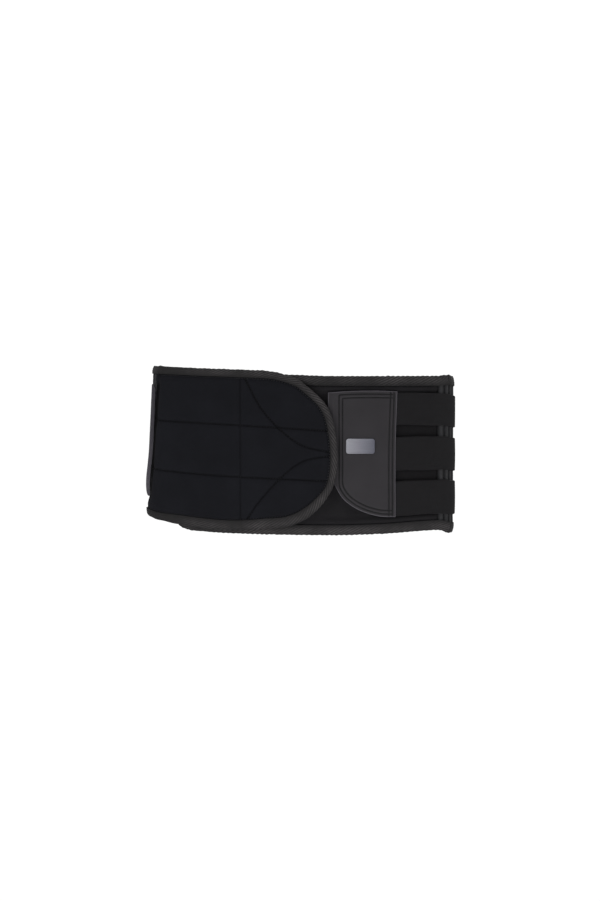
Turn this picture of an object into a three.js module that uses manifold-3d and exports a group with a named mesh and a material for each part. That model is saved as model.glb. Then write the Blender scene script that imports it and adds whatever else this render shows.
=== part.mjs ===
// A kidney belt, closed and standing on its lower edge as an oval loop.
// Millimetres, +Z up, the front towards -Y. The origin is under the middle of the belt, where it stands.
//
// The belt is one long strip laid round an oval. A place on it is (s, z): s is the arc length along the oval
// from the middle of the front, first to the right, and z is the height. The strip starts with the right
// panel's hidden end at negative s, runs round the right fold, the back and the left fold, and ends a full turn
// later with the flap, which lies over the right panel. A third value, out, is the distance outwards.
import * as THREE from 'three';
import Module from 'manifold-3d';
import { mergeVertices } from 'three/addons/utils/BufferGeometryUtils.js';

const wasm = await Module();
wasm.setup();

// The oval and the height
const HALF_WIDTH = 190.2;
const HALF_DEPTH = 60;
const FOLD_RADIUS = 40;
const BELT_HEIGHT = 206;
const LEFT_LEAN_DEG = 3.2; // the left fold's foot stands further out than its top
const LEAN_PIVOT_HEIGHT = 84.5; // where the leaning fold crosses the upright one
const LEAN_REACH = 69; // how far along the strip the lean is felt

// Cloth layers
const PANEL_THICKNESS = 3.6;
const TAPE_THICKNESS = 0.9;
const FLAP_TAPE_WIDTH = 9.5;
const RIGHT_TAPE_WIDTH = 12;
const SEAM_WIDTH = 2.6;
const SEAM_DEPTH = 1.2;
const RIB_PITCH = 9.8;
const RIB_DEPTH = 1.2;
const CLEARANCE = 0.3; // between any two pieces that touch

// Elastic bands and pull tabs
const BAND_WIDTH = 39;
const BAND_THICKNESS = 1.4;
const BAND_MARGIN = 8; // from the outer bands to the edge tape
const BAND_LIFT = 0.6; // how far the bands stand off the ribs at the fold
const BAND_CLOSING = 2.2; // how much closer together the bands lie at the fold
const BACK_GAP = 91; // between the right and left bands' sewn ends
const TAB_LENGTH = 81;
const TAB_THICKNESS = 2.6;
const TAB_OVERHANG = 1.5; // how far a tab reaches past the outer bands
const TAB_POCKET = 8; // how deep the bands go into a tab
const TAB_TOP_LIFT = 3; // how far the left tab's free end stands off the fold
const TAB_FOOT_LIFT = 4.5;

// Badge plate on the right tab
const BADGE_LENGTH = 34;
const BADGE_HEIGHT = 18;
const BADGE_THICKNESS = 1;
const BADGE_CORNER = 3;
const BADGE_REACH = 42.3; // from the tab's band edge to the badge's middle
const BADGE_RISE = 11.3; // from the strip's middle to the badge's

// Mesh steps
const FOLD_STEPS = 16;
const SIDE_STEPS = 10;
const PANEL_ROWS = 10;
const GUSSET_ROWS = 4;
const TAB_ROWS = 7;
const RIB_CUTS = 4; // steps a rib
const SMOOTH_STEP = 4;
const SEAM_STEP = 14;
const SHORTEST_STEP = 1;
const WELD_DISTANCE = 1e-4;
const ROUNDING = 1e-6;

// The oval has a flat arc at the front and back and a tight one at each side
const FRONT_RADIUS = ((HALF_WIDTH - FOLD_RADIUS) ** 2 + HALF_DEPTH ** 2 - FOLD_RADIUS ** 2)
  / (2 * (HALF_DEPTH - FOLD_RADIUS));
const TURN = Math.asin((HALF_WIDTH - FOLD_RADIUS) / (FRONT_RADIUS - FOLD_RADIUS));
const FRONT_ARC = FRONT_RADIUS * TURN;
const FOLD_ARC = FOLD_RADIUS * (Math.PI - 2 * TURN);
const HALF_LOOP = 2 * FRONT_ARC + FOLD_ARC;

// Places along the strip, in shares of half the loop
const PLACES = [
  { name: 'rightTabEdge', along: 0.287 },
  { name: 'rightSeam', along: 0.41 },
  { name: 'tapeJoint', along: 0.45 },
  { name: 'backSeamRight', along: 0.59 },
  { name: 'back', along: 1 },
  { name: 'leftTabEdge', along: 1.354 },
  { name: 'backSeamLeft', along: 1.41 },
  { name: 'flapLeaves', along: 1.46 },
  { name: 'leftFold', along: 1.5 },
  { name: 'leftSeamFoot', along: 1.544 },
  { name: 'leftSeamTop', along: 1.593 },
  { name: 'flapIsOver', along: 1.65 },
  { name: 'flapClimbs', along: 1.954 },
  { name: 'frontAgain', along: 2 },
  { name: 'flapIsOnTab', along: 2.093 },
];
const at = Object.fromEntries(PLACES.map(({ name, along }) => [name, along * HALF_LOOP]));

// Top and bottom of the strip, as shares of the belt height
const STRIP = [
  { along: -0.36, top: 0.93, bottom: 0.014 },
  { along: -0.2, top: 0.934, bottom: 0.003 },
  { along: -0.04, top: 0.939, bottom: 0 },
  { along: 0.104, top: 0.931, bottom: 0 },
  { along: 0.243, top: 0.93, bottom: 0.008 },
  { along: 0.41, top: 0.932, bottom: 0.028 },
  { along: 0.4375, top: 0.938, bottom: 0.019 },
  { along: 0.47, top: 0.936, bottom: 0.004 },
  { along: 0.52, top: 0.932, bottom: 0 },
  { along: 1, top: 0.937, bottom: 0 },
  { along: 1.17, top: 0.957, bottom: 0 },
  { along: 1.31, top: 0.981, bottom: 0 },
  { along: 1.38, top: 0.991, bottom: 0.02 },
  { along: 1.41, top: 0.995, bottom: 0.042 },
  { along: 1.5, top: 1, bottom: 0.088 },
  { along: 1.547, top: 0.999, bottom: 0.09 },
  { along: 1.593, top: 0.9957, bottom: 0.074 },
];

// The right panel's outline round its hidden end: along in shares of half the loop, height in shares of the
// belt's. Both outlines turn from top to end and from end to foot at the rows named as corners.
const RIGHT_END = [
  { along: -0.27, height: 0.93 },
  { along: -0.318, height: 0.913 },
  { along: -0.345, height: 0.865, corner: 'top' },
  { along: -0.359, height: 0.75 },
  { along: -0.362, height: 0.45 },
  { along: -0.36, height: 0.16 },
  { along: -0.352, height: 0.068, corner: 'foot' },
  { along: -0.333, height: 0.028 },
  { along: -0.3, height: 0.0095 },
];

// The flap's outline from the left seam's top, round its free end, to the seam's foot; along counts from the
// middle of the front
const FLAP_OUTLINE = [
  { along: -0.407, height: 0.9957 },
  { along: -0.27, height: 0.98 },
  { along: -0.146, height: 0.969 },
  { along: -0.065, height: 0.958 },
  { along: -0.022, height: 0.937 },
  { along: 0.0185, height: 0.897 },
  { along: 0.0405, height: 0.853, corner: 'top' },
  { along: 0.075, height: 0.766 },
  { along: 0.102, height: 0.661 },
  { along: 0.1215, height: 0.471 },
  { along: 0.105, height: 0.301 },
  { along: 0.0687, height: 0.185 },
  { along: 0.041, height: 0.1335, corner: 'foot' },
  { along: 0.0127, height: 0.095 },
  { along: -0.066, height: 0.0432 },
  { along: -0.146, height: 0.0252 },
  { along: -0.212, height: 0.0248 },
  { along: -0.319, height: 0.0437 },
  { along: -0.407, height: 0.073 },
  { along: -0.456, height: 0.09 },
];

// Sewn seams of the flap, in the same shares
const FLAP_SEAMS = {
  upper: [
    { along: -0.42, height: 0.671 },
    { along: -0.146, height: 0.642 },
    { along: 0.088, height: 0.611 },
  ],
  lower: [
    { along: -0.436, height: 0.38 },
    { along: -0.241, height: 0.348 },
    { along: 0.088, height: 0.32 },
  ],
  upright: [
    { along: -0.148, height: 0.935 },
    { along: -0.148, height: 0.06 },
  ],
  upper_curve: [
    { along: -0.132, height: 0.908 },
    { along: -0.086, height: 0.736 },
    { along: -0.0227, height: 0.597 },
    { along: 0.036, height: 0.519 },
    { along: 0.092, height: 0.49 },
  ],
  lower_curve: [
    { along: -0.127, height: 0.095 },
    { along: -0.09, height: 0.204 },
    { along: -0.0227, height: 0.355 },
    { along: 0.033, height: 0.436 },
    { along: 0.075, height: 0.462 },
  ],
};

// The tab's outline: reach is from its band edge, in shares of its length, and rise is from its middle, in
// shares of its height
const TAB_TOP = [
  { reach: 1, rise: 0.499 },
  { reach: 0.75, rise: 0.508 },
  { reach: 0.5, rise: 0.511 },
  { reach: 0.22, rise: 0.508 },
  { reach: 0, rise: 0.5 },
];
const TAB_BAND_EDGE = [
  { reach: 0, rise: -0.5 },
  { reach: 0.012, rise: -0.04 },
  { reach: 0.017, rise: 0.2 },
  { reach: 0, rise: 0.5 },
];
const TAB_FOOT = [
  { reach: 0.936, rise: -0.194 },
  { reach: 0.802, rise: -0.33 },
  { reach: 0.654, rise: -0.403 },
  { reach: 0.462, rise: -0.458 },
  { reach: 0.237, rise: -0.492 },
  { reach: 0, rise: -0.5 },
];
const TAB_FREE_EDGE = [
  { reach: 0.936, rise: -0.194 },
  { reach: 0.985, rise: -0.06 },
  { reach: 1, rise: 0.1 },
  { reach: 1, rise: 0.499 },
];

const mix = (a, b, t) => a + (b - a) * t;

function ease(value, from, to) {
  const t = Math.min(1, Math.max(0, (value - from) / (to - from)));
  return t * t * (3 - 2 * t);
}

// Value of a table's column at a place along the strip, by a cubic that never swings past its rows
function readTable(table, column, along) {
  const slope = (i) => {
    if (i < 0 || i >= table.length - 1) return 0;
    return (table[i + 1][column] - table[i][column]) / (table[i + 1].along - table[i].along);
  };
  const tangent = (i) => {
    const before = slope(i - 1);
    const after = slope(i);
    return before * after <= 0 ? 0 : (2 * before * after) / (before + after);
  };
  let i = table.findIndex((row) => row.along > along) - 1;
  if (i < 0) i = along <= table[0].along ? 0 : table.length - 2;
  const width = table[i + 1].along - table[i].along;
  const t = Math.min(1, Math.max(0, (along - table[i].along) / width));
  const value = mix(table[i][column], table[i + 1][column], 3 * t ** 2 - 2 * t ** 3);
  return value + ((t ** 3 - 2 * t ** 2 + t) * tangent(i) + (t ** 3 - t ** 2) * tangent(i + 1)) * width;
}

const stripTop = (s) => BELT_HEIGHT * readTable(STRIP, 'top', s / HALF_LOOP);
const stripBottom = (s) => BELT_HEIGHT * readTable(STRIP, 'bottom', s / HALF_LOOP);
const stripMiddle = (s) => (stripTop(s) + stripBottom(s)) / 2;

// Arc length to the nearest of the left fold's two turns of the strip
function distanceToLeftFold(s) {
  const turns = (s - at.leftFold) / (2 * HALF_LOOP);
  return Math.abs(turns - Math.round(turns)) * 2 * HALF_LOOP;
}

// Point and outward direction of the oval
function oval(s) {
  const wrapped = s - 2 * HALF_LOOP * Math.round(s / (2 * HALF_LOOP));
  const side = wrapped < 0 ? -1 : 1;
  const length = Math.abs(wrapped);
  const centre = { x: 0, y: FRONT_RADIUS - HALF_DEPTH };
  let radius = FRONT_RADIUS;
  let angle = length / FRONT_RADIUS;
  if (length > FRONT_ARC + FOLD_ARC) {
    centre.y = -centre.y;
    angle = Math.PI - (HALF_LOOP - length) / FRONT_RADIUS;
  } else if (length > FRONT_ARC) {
    centre.x = HALF_WIDTH - FOLD_RADIUS;
    centre.y = 0;
    radius = FOLD_RADIUS;
    angle = TURN + (length - FRONT_ARC) / FOLD_RADIUS;
  }
  const normal = { x: side * Math.sin(angle), y: -Math.cos(angle) };
  return { x: side * centre.x + radius * normal.x, y: centre.y + radius * normal.y, normal };
}

// The flap rises over the right panel's edge tape, and at its end over the tab as well
const FLAP_STACK = PANEL_THICKNESS + 2 * TAPE_THICKNESS + 3 * CLEARANCE;
const TAB_STACK = TAB_THICKNESS - TAPE_THICKNESS;

const rise = (s) => FLAP_STACK * ease(s, at.flapLeaves, at.flapIsOver)
  + TAB_STACK * ease(s, at.flapClimbs, at.flapIsOnTab);

const LEAN_SLOPE = Math.tan(THREE.MathUtils.degToRad(LEFT_LEAN_DEG));

// Point of the strip's outer face, moved outwards by out
function wallPoint(s, z, out) {
  const place = oval(s);
  const nearFold = 1 - ease(distanceToLeftFold(s), 0, LEAN_REACH);
  const lean = LEAN_SLOPE * (LEAN_PIVOT_HEIGHT - z) * nearFold;
  const reach = rise(s) + lean + out;
  return new THREE.Vector3(place.x + place.normal.x * reach, place.y + place.normal.y * reach, z);
}

// Closed geometry from points and triangles, with its faces pointing out
function closedGeometry(points, triangles) {
  let volume = 0;
  for (const [a, b, c] of triangles) {
    volume += points[a].dot(new THREE.Vector3().crossVectors(points[b], points[c]));
  }
  const index = triangles.flatMap(([a, b, c]) => (volume > 0 ? [a, b, c] : [a, c, b]));
  const geometry = new THREE.BufferGeometry().setFromPoints(points);
  geometry.setIndex(index);
  return geometry;
}

// Smooth line through the places in a table, from one row to another, cut into steps of about a given length
function smoothLine(rows, step, first = 0, last = rows.length - 1) {
  const curve = new THREE.SplineCurve(rows.map((row) => new THREE.Vector2(row.s, row.z)));
  const points = [];
  for (let i = first; i < last; i += 1) {
    const length = Math.hypot(rows[i + 1].s - rows[i].s, rows[i + 1].z - rows[i].z);
    const cuts = Math.max(1, Math.round(length / step));
    for (let k = 0; k < cuts; k += 1) points.push(curve.getPoint((i + k / cuts) / (rows.length - 1)));
  }
  points.push(curve.getPoint(last / (rows.length - 1)));
  return points.map((point) => ({ s: point.x, z: point.y }));
}

// Direction across a line at each of its points, to the left of its run, lengthened where the line turns
function acrossLine(line) {
  return line.map((point, i) => {
    const before = line[Math.max(0, i - 1)];
    const after = line[Math.min(line.length - 1, i + 1)];
    const normals = [[before, point], [point, after]]
      .filter(([a, b]) => a !== b)
      .map(([a, b]) => new THREE.Vector2(a.z - b.z, b.s - a.s).normalize());
    const middle = normals.reduce((sum, normal) => sum.clone().add(normal)).normalize();
    return middle.divideScalar(middle.dot(normals[0]));
  });
}

// The line moved sideways, to the left of its run
function movedLine(line, distance) {
  const across = acrossLine(line);
  return line.map((point, i) => ({
    s: point.s + across[i].x * distance,
    z: point.z + across[i].y * distance,
  }));
}

// Solid swept along a line on the wall; sectionAt gives a closed section of { side, out } corners at each share
function sweptSolid(line, sectionAt, liftAt = () => 0) {
  const across = acrossLine(line);
  const points = [];
  const triangles = [];
  const size = sectionAt(0).length;
  line.forEach((place, i) => {
    for (const corner of sectionAt(i / (line.length - 1))) {
      const s = place.s + across[i].x * corner.side;
      const z = place.z + across[i].y * corner.side;
      points.push(wallPoint(s, z, corner.out + liftAt(s, z)));
    }
    if (i === 0) return;
    for (let k = 0; k < size; k += 1) {
      const next = (k + 1) % size;
      const low = (i - 1) * size;
      triangles.push([low + k, low + next, low + size + next], [low + k, low + size + next, low + size + k]);
    }
  });
  const outlineAt = (share) => sectionAt(share).map((corner) => new THREE.Vector2(corner.side, corner.out));
  const flip = THREE.ShapeUtils.isClockWise(outlineAt(0));
  const addCap = (share, first, turned) => {
    for (const cap of THREE.ShapeUtils.triangulateShape(outlineAt(share), [])) {
      const [a, b, c] = cap.map((corner) => first + corner);
      triangles.push(turned ? [a, c, b] : [a, b, c]);
    }
  };
  addCap(0, 0, !flip);
  addCap(1, (line.length - 1) * size, flip);
  return closedGeometry(points, triangles);
}

// Folded tape over an edge: a U of tape round a panel, whose outer edge follows the line
function tapeSolid(line, widthAt) {
  const front = CLEARANCE + TAPE_THICKNESS;
  const back = -PANEL_THICKNESS - CLEARANCE - TAPE_THICKNESS;
  return sweptSolid(line, (share) => [
    { side: 0, out: back },
    { side: widthAt(share), out: back },
    { side: widthAt(share), out: back + TAPE_THICKNESS },
    { side: TAPE_THICKNESS, out: back + TAPE_THICKNESS },
    { side: TAPE_THICKNESS, out: front - TAPE_THICKNESS },
    { side: widthAt(share), out: front - TAPE_THICKNESS },
    { side: widthAt(share), out: front },
    { side: 0, out: front },
  ]);
}

// Points at given shares of a polyline's length
function pointsOn(line, shares) {
  const lengths = [0];
  for (let i = 1; i < line.length; i += 1) {
    lengths.push(lengths[i - 1] + Math.hypot(line[i].s - line[i - 1].s, line[i].z - line[i - 1].z));
  }
  return shares.map((share) => {
    const goal = share * lengths.at(-1);
    const i = Math.max(1, lengths.findIndex((length) => length >= goal - ROUNDING));
    const t = (goal - lengths[i - 1]) / (lengths[i] - lengths[i - 1]);
    return { s: mix(line[i - 1].s, line[i].s, t), z: mix(line[i - 1].z, line[i].z, t) };
  });
}

const evenShares = (count) => Array.from({ length: count + 1 }, (unused, i) => i / count);

// Solid between an inner and an outer face over a four-sided patch of the wall. The sides are lists of points
// with shared corners: top and foot hold one point a column, start and end one a row, from the foot up.
function patchSolid(sides, innerAt, outerAt) {
  const { top, foot, start, end } = sides;
  const lastColumn = top.length - 1;
  const lastRow = start.length - 1;
  const patch = (i, j, name) => {
    const u = (foot[i].s - foot[0].s) / (foot[lastColumn].s - foot[0].s);
    const v = j / lastRow;
    const ruled = mix(foot[i][name], top[i][name], v) + mix(start[j][name], end[j][name], u);
    const between = (side) => mix(side[0][name], side[lastColumn][name], u);
    return ruled - mix(between(foot), between(top), v);
  };
  const points = [];
  for (const face of [innerAt, outerAt]) {
    for (let i = 0; i <= lastColumn; i += 1) {
      for (let j = 0; j <= lastRow; j += 1) {
        const s = patch(i, j, 's');
        const z = patch(i, j, 'z');
        points.push(wallPoint(s, z, face(s, z)));
      }
    }
  }
  const pick = (i, j, face) => (face * (lastColumn + 1) + i) * (lastRow + 1) + j;
  const triangles = [];
  const quad = (a, b, c, d) => triangles.push([a, b, c], [a, c, d]);
  for (let i = 0; i < lastColumn; i += 1) {
    for (let j = 0; j < lastRow; j += 1) {
      quad(pick(i, j, 0), pick(i, j + 1, 0), pick(i + 1, j + 1, 0), pick(i + 1, j, 0));
      quad(pick(i, j, 1), pick(i + 1, j, 1), pick(i + 1, j + 1, 1), pick(i, j + 1, 1));
    }
    quad(pick(i, 0, 0), pick(i + 1, 0, 0), pick(i + 1, 0, 1), pick(i, 0, 1));
    quad(pick(i, lastRow, 0), pick(i, lastRow, 1), pick(i + 1, lastRow, 1), pick(i + 1, lastRow, 0));
  }
  for (let j = 0; j < lastRow; j += 1) {
    const k = lastColumn;
    quad(pick(0, j, 0), pick(0, j, 1), pick(0, j + 1, 1), pick(0, j + 1, 0));
    quad(pick(k, j, 0), pick(k, j + 1, 0), pick(k, j + 1, 1), pick(k, j, 1));
  }
  return closedGeometry(points, triangles);
}

// Steps along the strip from one place to another, closer together in the folds
function stepsAlong(from, to) {
  const marks = [];
  for (let turn = -1; turn <= 2; turn += 1) {
    const front = turn * HALF_LOOP;
    for (let k = -SIDE_STEPS; k <= SIDE_STEPS; k += 1) marks.push(front + (k / SIDE_STEPS) * FRONT_ARC);
    for (let k = 1; k < FOLD_STEPS; k += 1) marks.push(front + FRONT_ARC + (k / FOLD_STEPS) * FOLD_ARC);
  }
  const inside = marks.filter((mark) => (
    mark > from + SHORTEST_STEP && mark < to - SHORTEST_STEP));
  return [from, ...inside.sort((a, b) => a - b), to];
}

const sharesOf = (steps) => steps.map((s) => (s - steps[0]) / (steps.at(-1) - steps[0]));

// Manifold booleans between geometries
function toManifold(geometry) {
  const bare = geometry.clone();
  bare.deleteAttribute('normal');
  bare.deleteAttribute('uv');
  const merged = mergeVertices(bare, WELD_DISTANCE);
  return new wasm.Manifold(new wasm.Mesh({
    numProp: 3,
    vertProperties: new Float32Array(merged.attributes.position.array),
    triVerts: new Uint32Array(merged.index.array),
  }));
}

function cutAway(geometry, cutters) {
  let solid = toManifold(geometry);
  for (const cutter of cutters) solid = solid.subtract(toManifold(cutter));
  const mesh = solid.getMesh();
  const result = new THREE.BufferGeometry();
  result.setAttribute('position', new THREE.BufferAttribute(new Float32Array(mesh.vertProperties), 3));
  result.setIndex(new THREE.BufferAttribute(new Uint32Array(mesh.triVerts), 1));
  return result;
}

// Materials
const padded = new THREE.MeshStandardMaterial({ color: 0x1c1c21, roughness: 0.95, metalness: 0 });
const ribbed = new THREE.MeshStandardMaterial({ color: 0x242427, roughness: 0.9, metalness: 0 });
const tape = new THREE.MeshStandardMaterial({ color: 0x32302f, roughness: 0.85, metalness: 0 });
const elastic = new THREE.MeshStandardMaterial({ color: 0x212123, roughness: 0.85, metalness: 0 });
const rubber = new THREE.MeshStandardMaterial({ color: 0x363638, roughness: 0.7, metalness: 0 });
const plate = new THREE.MeshStandardMaterial({ color: 0x828291, roughness: 0.4, metalness: 0.3 });

const belt = new THREE.Group();

function addPiece(name, geometry, material) {
  geometry.computeVertexNormals();
  const mesh = new THREE.Mesh(geometry, material);
  mesh.name = name;
  belt.add(mesh);
  return mesh;
}

const EDGE_INSET = TAPE_THICKNESS + CLEARANCE; // from a tape's outer edge to the panel inside it
const SEAM_GAP = CLEARANCE / 2; // each side of a seam between two panels
const panelInner = () => -PANEL_THICKNESS;
const panelOuter = () => 0;

// Four sides of a plain stretch of the strip, inside its edge tape
function stretchSides(topSteps, footSteps, rows) {
  const top = topSteps.map((s) => ({ s, z: stripTop(s) - EDGE_INSET }));
  const foot = footSteps.map((s) => ({ s, z: stripBottom(s) + EDGE_INSET }));
  const start = pointsOn([foot[0], top[0]], evenShares(rows));
  const end = pointsOn([foot.at(-1), top.at(-1)], evenShares(rows));
  return { top, foot, start, end };
}

// A panel with a free end: its tape's line runs along the top, round the end and back along the foot, and the
// panel has the same points, moved inwards. The lines of the top and the foot start at the free end.
function endedPanel(topLine, endLine, footLine, shares) {
  const rows = evenShares(PANEL_ROWS);
  const top = pointsOn(topLine, shares).reverse();
  const end = pointsOn(endLine, rows);
  const foot = pointsOn(footLine, shares);
  const line = [...top, ...end.slice(1, -1), ...foot];
  const inset = movedLine(line, EDGE_INSET);
  const insetTop = inset.slice(0, top.length).reverse();
  const insetFoot = inset.slice(-foot.length);
  const free = inset.slice(top.length - 1, 1 - foot.length).reverse();
  const sewn = pointsOn([insetFoot.at(-1), insetTop.at(-1)], rows);
  return { line, sides: { top: insetTop, foot: insetFoot, start: free, end: sewn } };
}

const cornersOf = (rows) => ['top', 'foot'].map((name) => rows.findIndex((row) => row.corner === name));

// Right panel and its edge tape, which goes on over the gusset as far as the joint at the fold
const rightEnd = RIGHT_END.map((row) => ({ s: row.along * HALF_LOOP, z: row.height * BELT_HEIGHT }));
const [rightTopCorner, rightFootCorner] = cornersOf(RIGHT_END);
const rightPanelEnd = at.rightSeam - SEAM_GAP;
const stripLine = (from, to, level) => stepsAlong(from, to).slice(1).map((s) => ({ s, z: level(s) }));
const rightParts = endedPanel(
  [
    ...smoothLine(rightEnd, SMOOTH_STEP, 0, rightTopCorner).reverse(),
    ...stripLine(rightEnd[0].s, rightPanelEnd, stripTop),
  ],
  smoothLine(rightEnd, SMOOTH_STEP, rightTopCorner, rightFootCorner),
  [
    ...smoothLine(rightEnd, SMOOTH_STEP, rightFootCorner),
    ...stripLine(rightEnd.at(-1).s, rightPanelEnd, stripBottom),
  ],
  sharesOf(stepsAlong(rightEnd[rightFootCorner].s, rightPanelEnd)),
);
const rightTapeLine = [
  ...stripLine(rightPanelEnd, at.tapeJoint - SEAM_GAP, stripTop).reverse(),
  ...rightParts.line,
  ...stripLine(rightPanelEnd, at.tapeJoint - SEAM_GAP, stripBottom),
];
addPiece('right_binding', tapeSolid(rightTapeLine, () => RIGHT_TAPE_WIDTH), tape);
addPiece('right_panel', patchSolid(rightParts.sides, panelInner, panelOuter), padded);

// Flap, its edge tape and its sewn seams; its line is mirrored, because it has its free end on the right
const onFlap = (row) => ({ s: at.frontAgain + row.along * HALF_LOOP, z: row.height * BELT_HEIGHT });
const mirrored = (line) => line.map((point) => ({ s: -point.s, z: point.z }));
const flapOutline = mirrored(FLAP_OUTLINE.map(onFlap));
const [flapTopCorner, flapFootCorner] = cornersOf(FLAP_OUTLINE);
const flapSteps = stepsAlong(-flapOutline.at(-1).s, -flapOutline[flapFootCorner].s).map((s) => -s).reverse();
const flapParts = endedPanel(
  smoothLine(flapOutline, SMOOTH_STEP, 0, flapTopCorner).reverse(),
  smoothLine(flapOutline, SMOOTH_STEP, flapTopCorner, flapFootCorner),
  smoothLine(flapOutline, SMOOTH_STEP, flapFootCorner),
  sharesOf(flapSteps),
);
addPiece('flap_binding', tapeSolid(mirrored(flapParts.line).reverse(), () => FLAP_TAPE_WIDTH), tape);

const flapSides = Object.fromEntries(
  Object.entries(flapParts.sides).map(([side, line]) => [side, mirrored(line)]));
const flapBody = patchSolid(flapSides, panelInner, panelOuter);
const seamSection = () => [
  { side: -SEAM_WIDTH, out: SEAM_DEPTH },
  { side: SEAM_WIDTH, out: SEAM_DEPTH },
  { side: 0, out: -SEAM_DEPTH },
];
const seamCutters = Object.values(FLAP_SEAMS).map((rows) => (
  sweptSolid(smoothLine(rows.map(onFlap), SEAM_STEP), seamSection)));
addPiece('flap', cutAway(flapBody, seamCutters), padded);

// Gussets with upright ribs round the folds
const ribCount = (from, to) => Math.max(2, Math.round((to - from) / RIB_PITCH));

function ribFace(from, to) {
  const ribs = ribCount(from, to);
  return (s) => -RIB_DEPTH * (1 - Math.abs(Math.sin(Math.PI * ribs * ((s - from) / (to - from)))));
}

function ribSteps(from, to, count) {
  return evenShares(count).map((share) => mix(from, to, share));
}

const ribSpan = [at.rightSeam + SEAM_GAP, at.backSeamRight - SEAM_GAP];
const ribCuts = RIB_CUTS * ribCount(...ribSpan);
const rightRibs = ribSteps(...ribSpan, ribCuts);
addPiece('right_gusset', patchSolid(
  stretchSides(rightRibs, rightRibs, GUSSET_ROWS),
  panelInner,
  ribFace(...ribSpan),
), ribbed);

// The left gusset's front seam leans: its foot is further back than its top
const leftSeamTop = at.leftSeamTop - CLEARANCE;
const leftSeamFoot = at.leftSeamFoot - CLEARANCE;
const leftStart = at.backSeamLeft + SEAM_GAP;
const leftSides = stretchSides(
  ribSteps(leftStart, leftSeamTop, ribCuts),
  ribSteps(leftStart, leftSeamFoot, ribCuts),
  GUSSET_ROWS,
);
const leftRibFace = (s, z) => {
  const [low, high] = [leftSides.end[0].z, leftSides.end.at(-1).z];
  return ribFace(leftStart, mix(leftSeamFoot, leftSeamTop, (z - low) / (high - low)))(s);
};
addPiece('left_gusset', patchSolid(leftSides, panelInner, leftRibFace), ribbed);

// Back panel
const backSteps = stepsAlong(at.backSeamRight + SEAM_GAP, at.backSeamLeft - SEAM_GAP);
const backSides = stretchSides(backSteps, backSteps, GUSSET_ROWS);
addPiece('back_panel', patchSolid(backSides, panelInner, panelOuter), padded);

// Edge tape over the gussets and the back panel; it narrows from the right panel's width to the flap's
const narrowing = (share) => mix(RIGHT_TAPE_WIDTH, FLAP_TAPE_WIDTH, share);
const widening = (share) => narrowing(1 - share);
const tapeStart = at.tapeJoint + SEAM_GAP;
const topLine = stepsAlong(tapeStart, leftSeamTop).map((s) => ({ s, z: stripTop(s) })).reverse();
const footLine = stepsAlong(tapeStart, leftSeamFoot).map((s) => ({ s, z: stripBottom(s) }));
addPiece('back_binding_top', tapeSolid(topLine, widening), tape);
addPiece('back_binding_bottom', tapeSolid(footLine, narrowing), tape);

// Elastic bands: three a side, spread between the edge tapes, closing up a little towards the fold
const BAND_NAMES = ['bottom', 'middle', 'top'];
const wholeHeight = stripTop(at.rightTabEdge) - stripBottom(at.rightTabEdge);
const BAND_PITCH = (wholeHeight - BAND_WIDTH) / 2 - RIGHT_TAPE_WIDTH - BAND_MARGIN;
const TAB_HEIGHT = 2 * BAND_PITCH + BAND_WIDTH + 2 * TAB_OVERHANG;

function bandLevel(s, row) {
  const closing = BAND_CLOSING * ease(s, at.rightTabEdge, at.rightSeam);
  return stripMiddle(s) + (row - 1) * (BAND_PITCH - closing);
}

// Lift of a band over the ribs of the right fold
const bandLift = (s) => BAND_LIFT * ease(s, at.rightTabEdge, at.rightSeam)
  * (1 - ease(s, at.backSeamRight, at.backSeamRight + at.rightSeam - at.rightTabEdge));

function bandSolid(steps, row, room) {
  const line = steps.map((s) => ({ s, z: bandLevel(s, row) }));
  return sweptSolid(line, () => [
    { side: -BAND_WIDTH / 2 - room, out: CLEARANCE - 2 * room },
    { side: BAND_WIDTH / 2 + room, out: CLEARANCE - 2 * room },
    { side: BAND_WIDTH / 2 + room, out: CLEARANCE + BAND_THICKNESS + room },
    { side: -BAND_WIDTH / 2 - room, out: CLEARANCE + BAND_THICKNESS + room },
  ], bandLift);
}

BAND_NAMES.forEach((name, row) => {
  const rightSpan = stepsAlong(at.rightTabEdge - TAB_POCKET, at.back - BACK_GAP / 2);
  const leftSpan = stepsAlong(at.back + BACK_GAP / 2, at.leftTabEdge + TAB_POCKET);
  addPiece(`right_band_${name}`, bandSolid(rightSpan, row, 0), elastic);
  addPiece(`left_band_${name}`, bandSolid(leftSpan, row, 0), elastic);
});

// Pull tabs: the bands' ends lie in pockets under the band edge
function tabSolid(bandEdge, direction, liftAt) {
  const place = (row) => {
    const s = bandEdge + direction * row.reach * TAB_LENGTH;
    return { s, z: stripMiddle(s) + row.rise * TAB_HEIGHT };
  };
  const columns = evenShares(Math.round(TAB_LENGTH / (FOLD_ARC / FOLD_STEPS)));
  const side = (rows, shares) => pointsOn(smoothLine(rows.map(place), SMOOTH_STEP), shares);
  const rows = evenShares(TAB_ROWS);
  const body = patchSolid(
    {
      top: side(TAB_TOP, columns).reverse(),
      foot: side(TAB_FOOT, columns).reverse(),
      start: side(TAB_BAND_EDGE, rows),
      end: side(TAB_FREE_EDGE, rows),
    },
    (s, z) => CLEARANCE + liftAt(s, z),
    (s, z) => CLEARANCE + TAB_THICKNESS + liftAt(s, z),
  );
  const pocketEnds = [bandEdge + direction * (TAB_POCKET + CLEARANCE), bandEdge - direction * TAB_POCKET];
  const pocketSpan = stepsAlong(Math.min(...pocketEnds), Math.max(...pocketEnds));
  return cutAway(body, BAND_NAMES.map((name, row) => bandSolid(pocketSpan, row, CLEARANCE)));
}

addPiece('right_tab', tabSolid(at.rightTabEdge, -1, () => 0), rubber);

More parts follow.
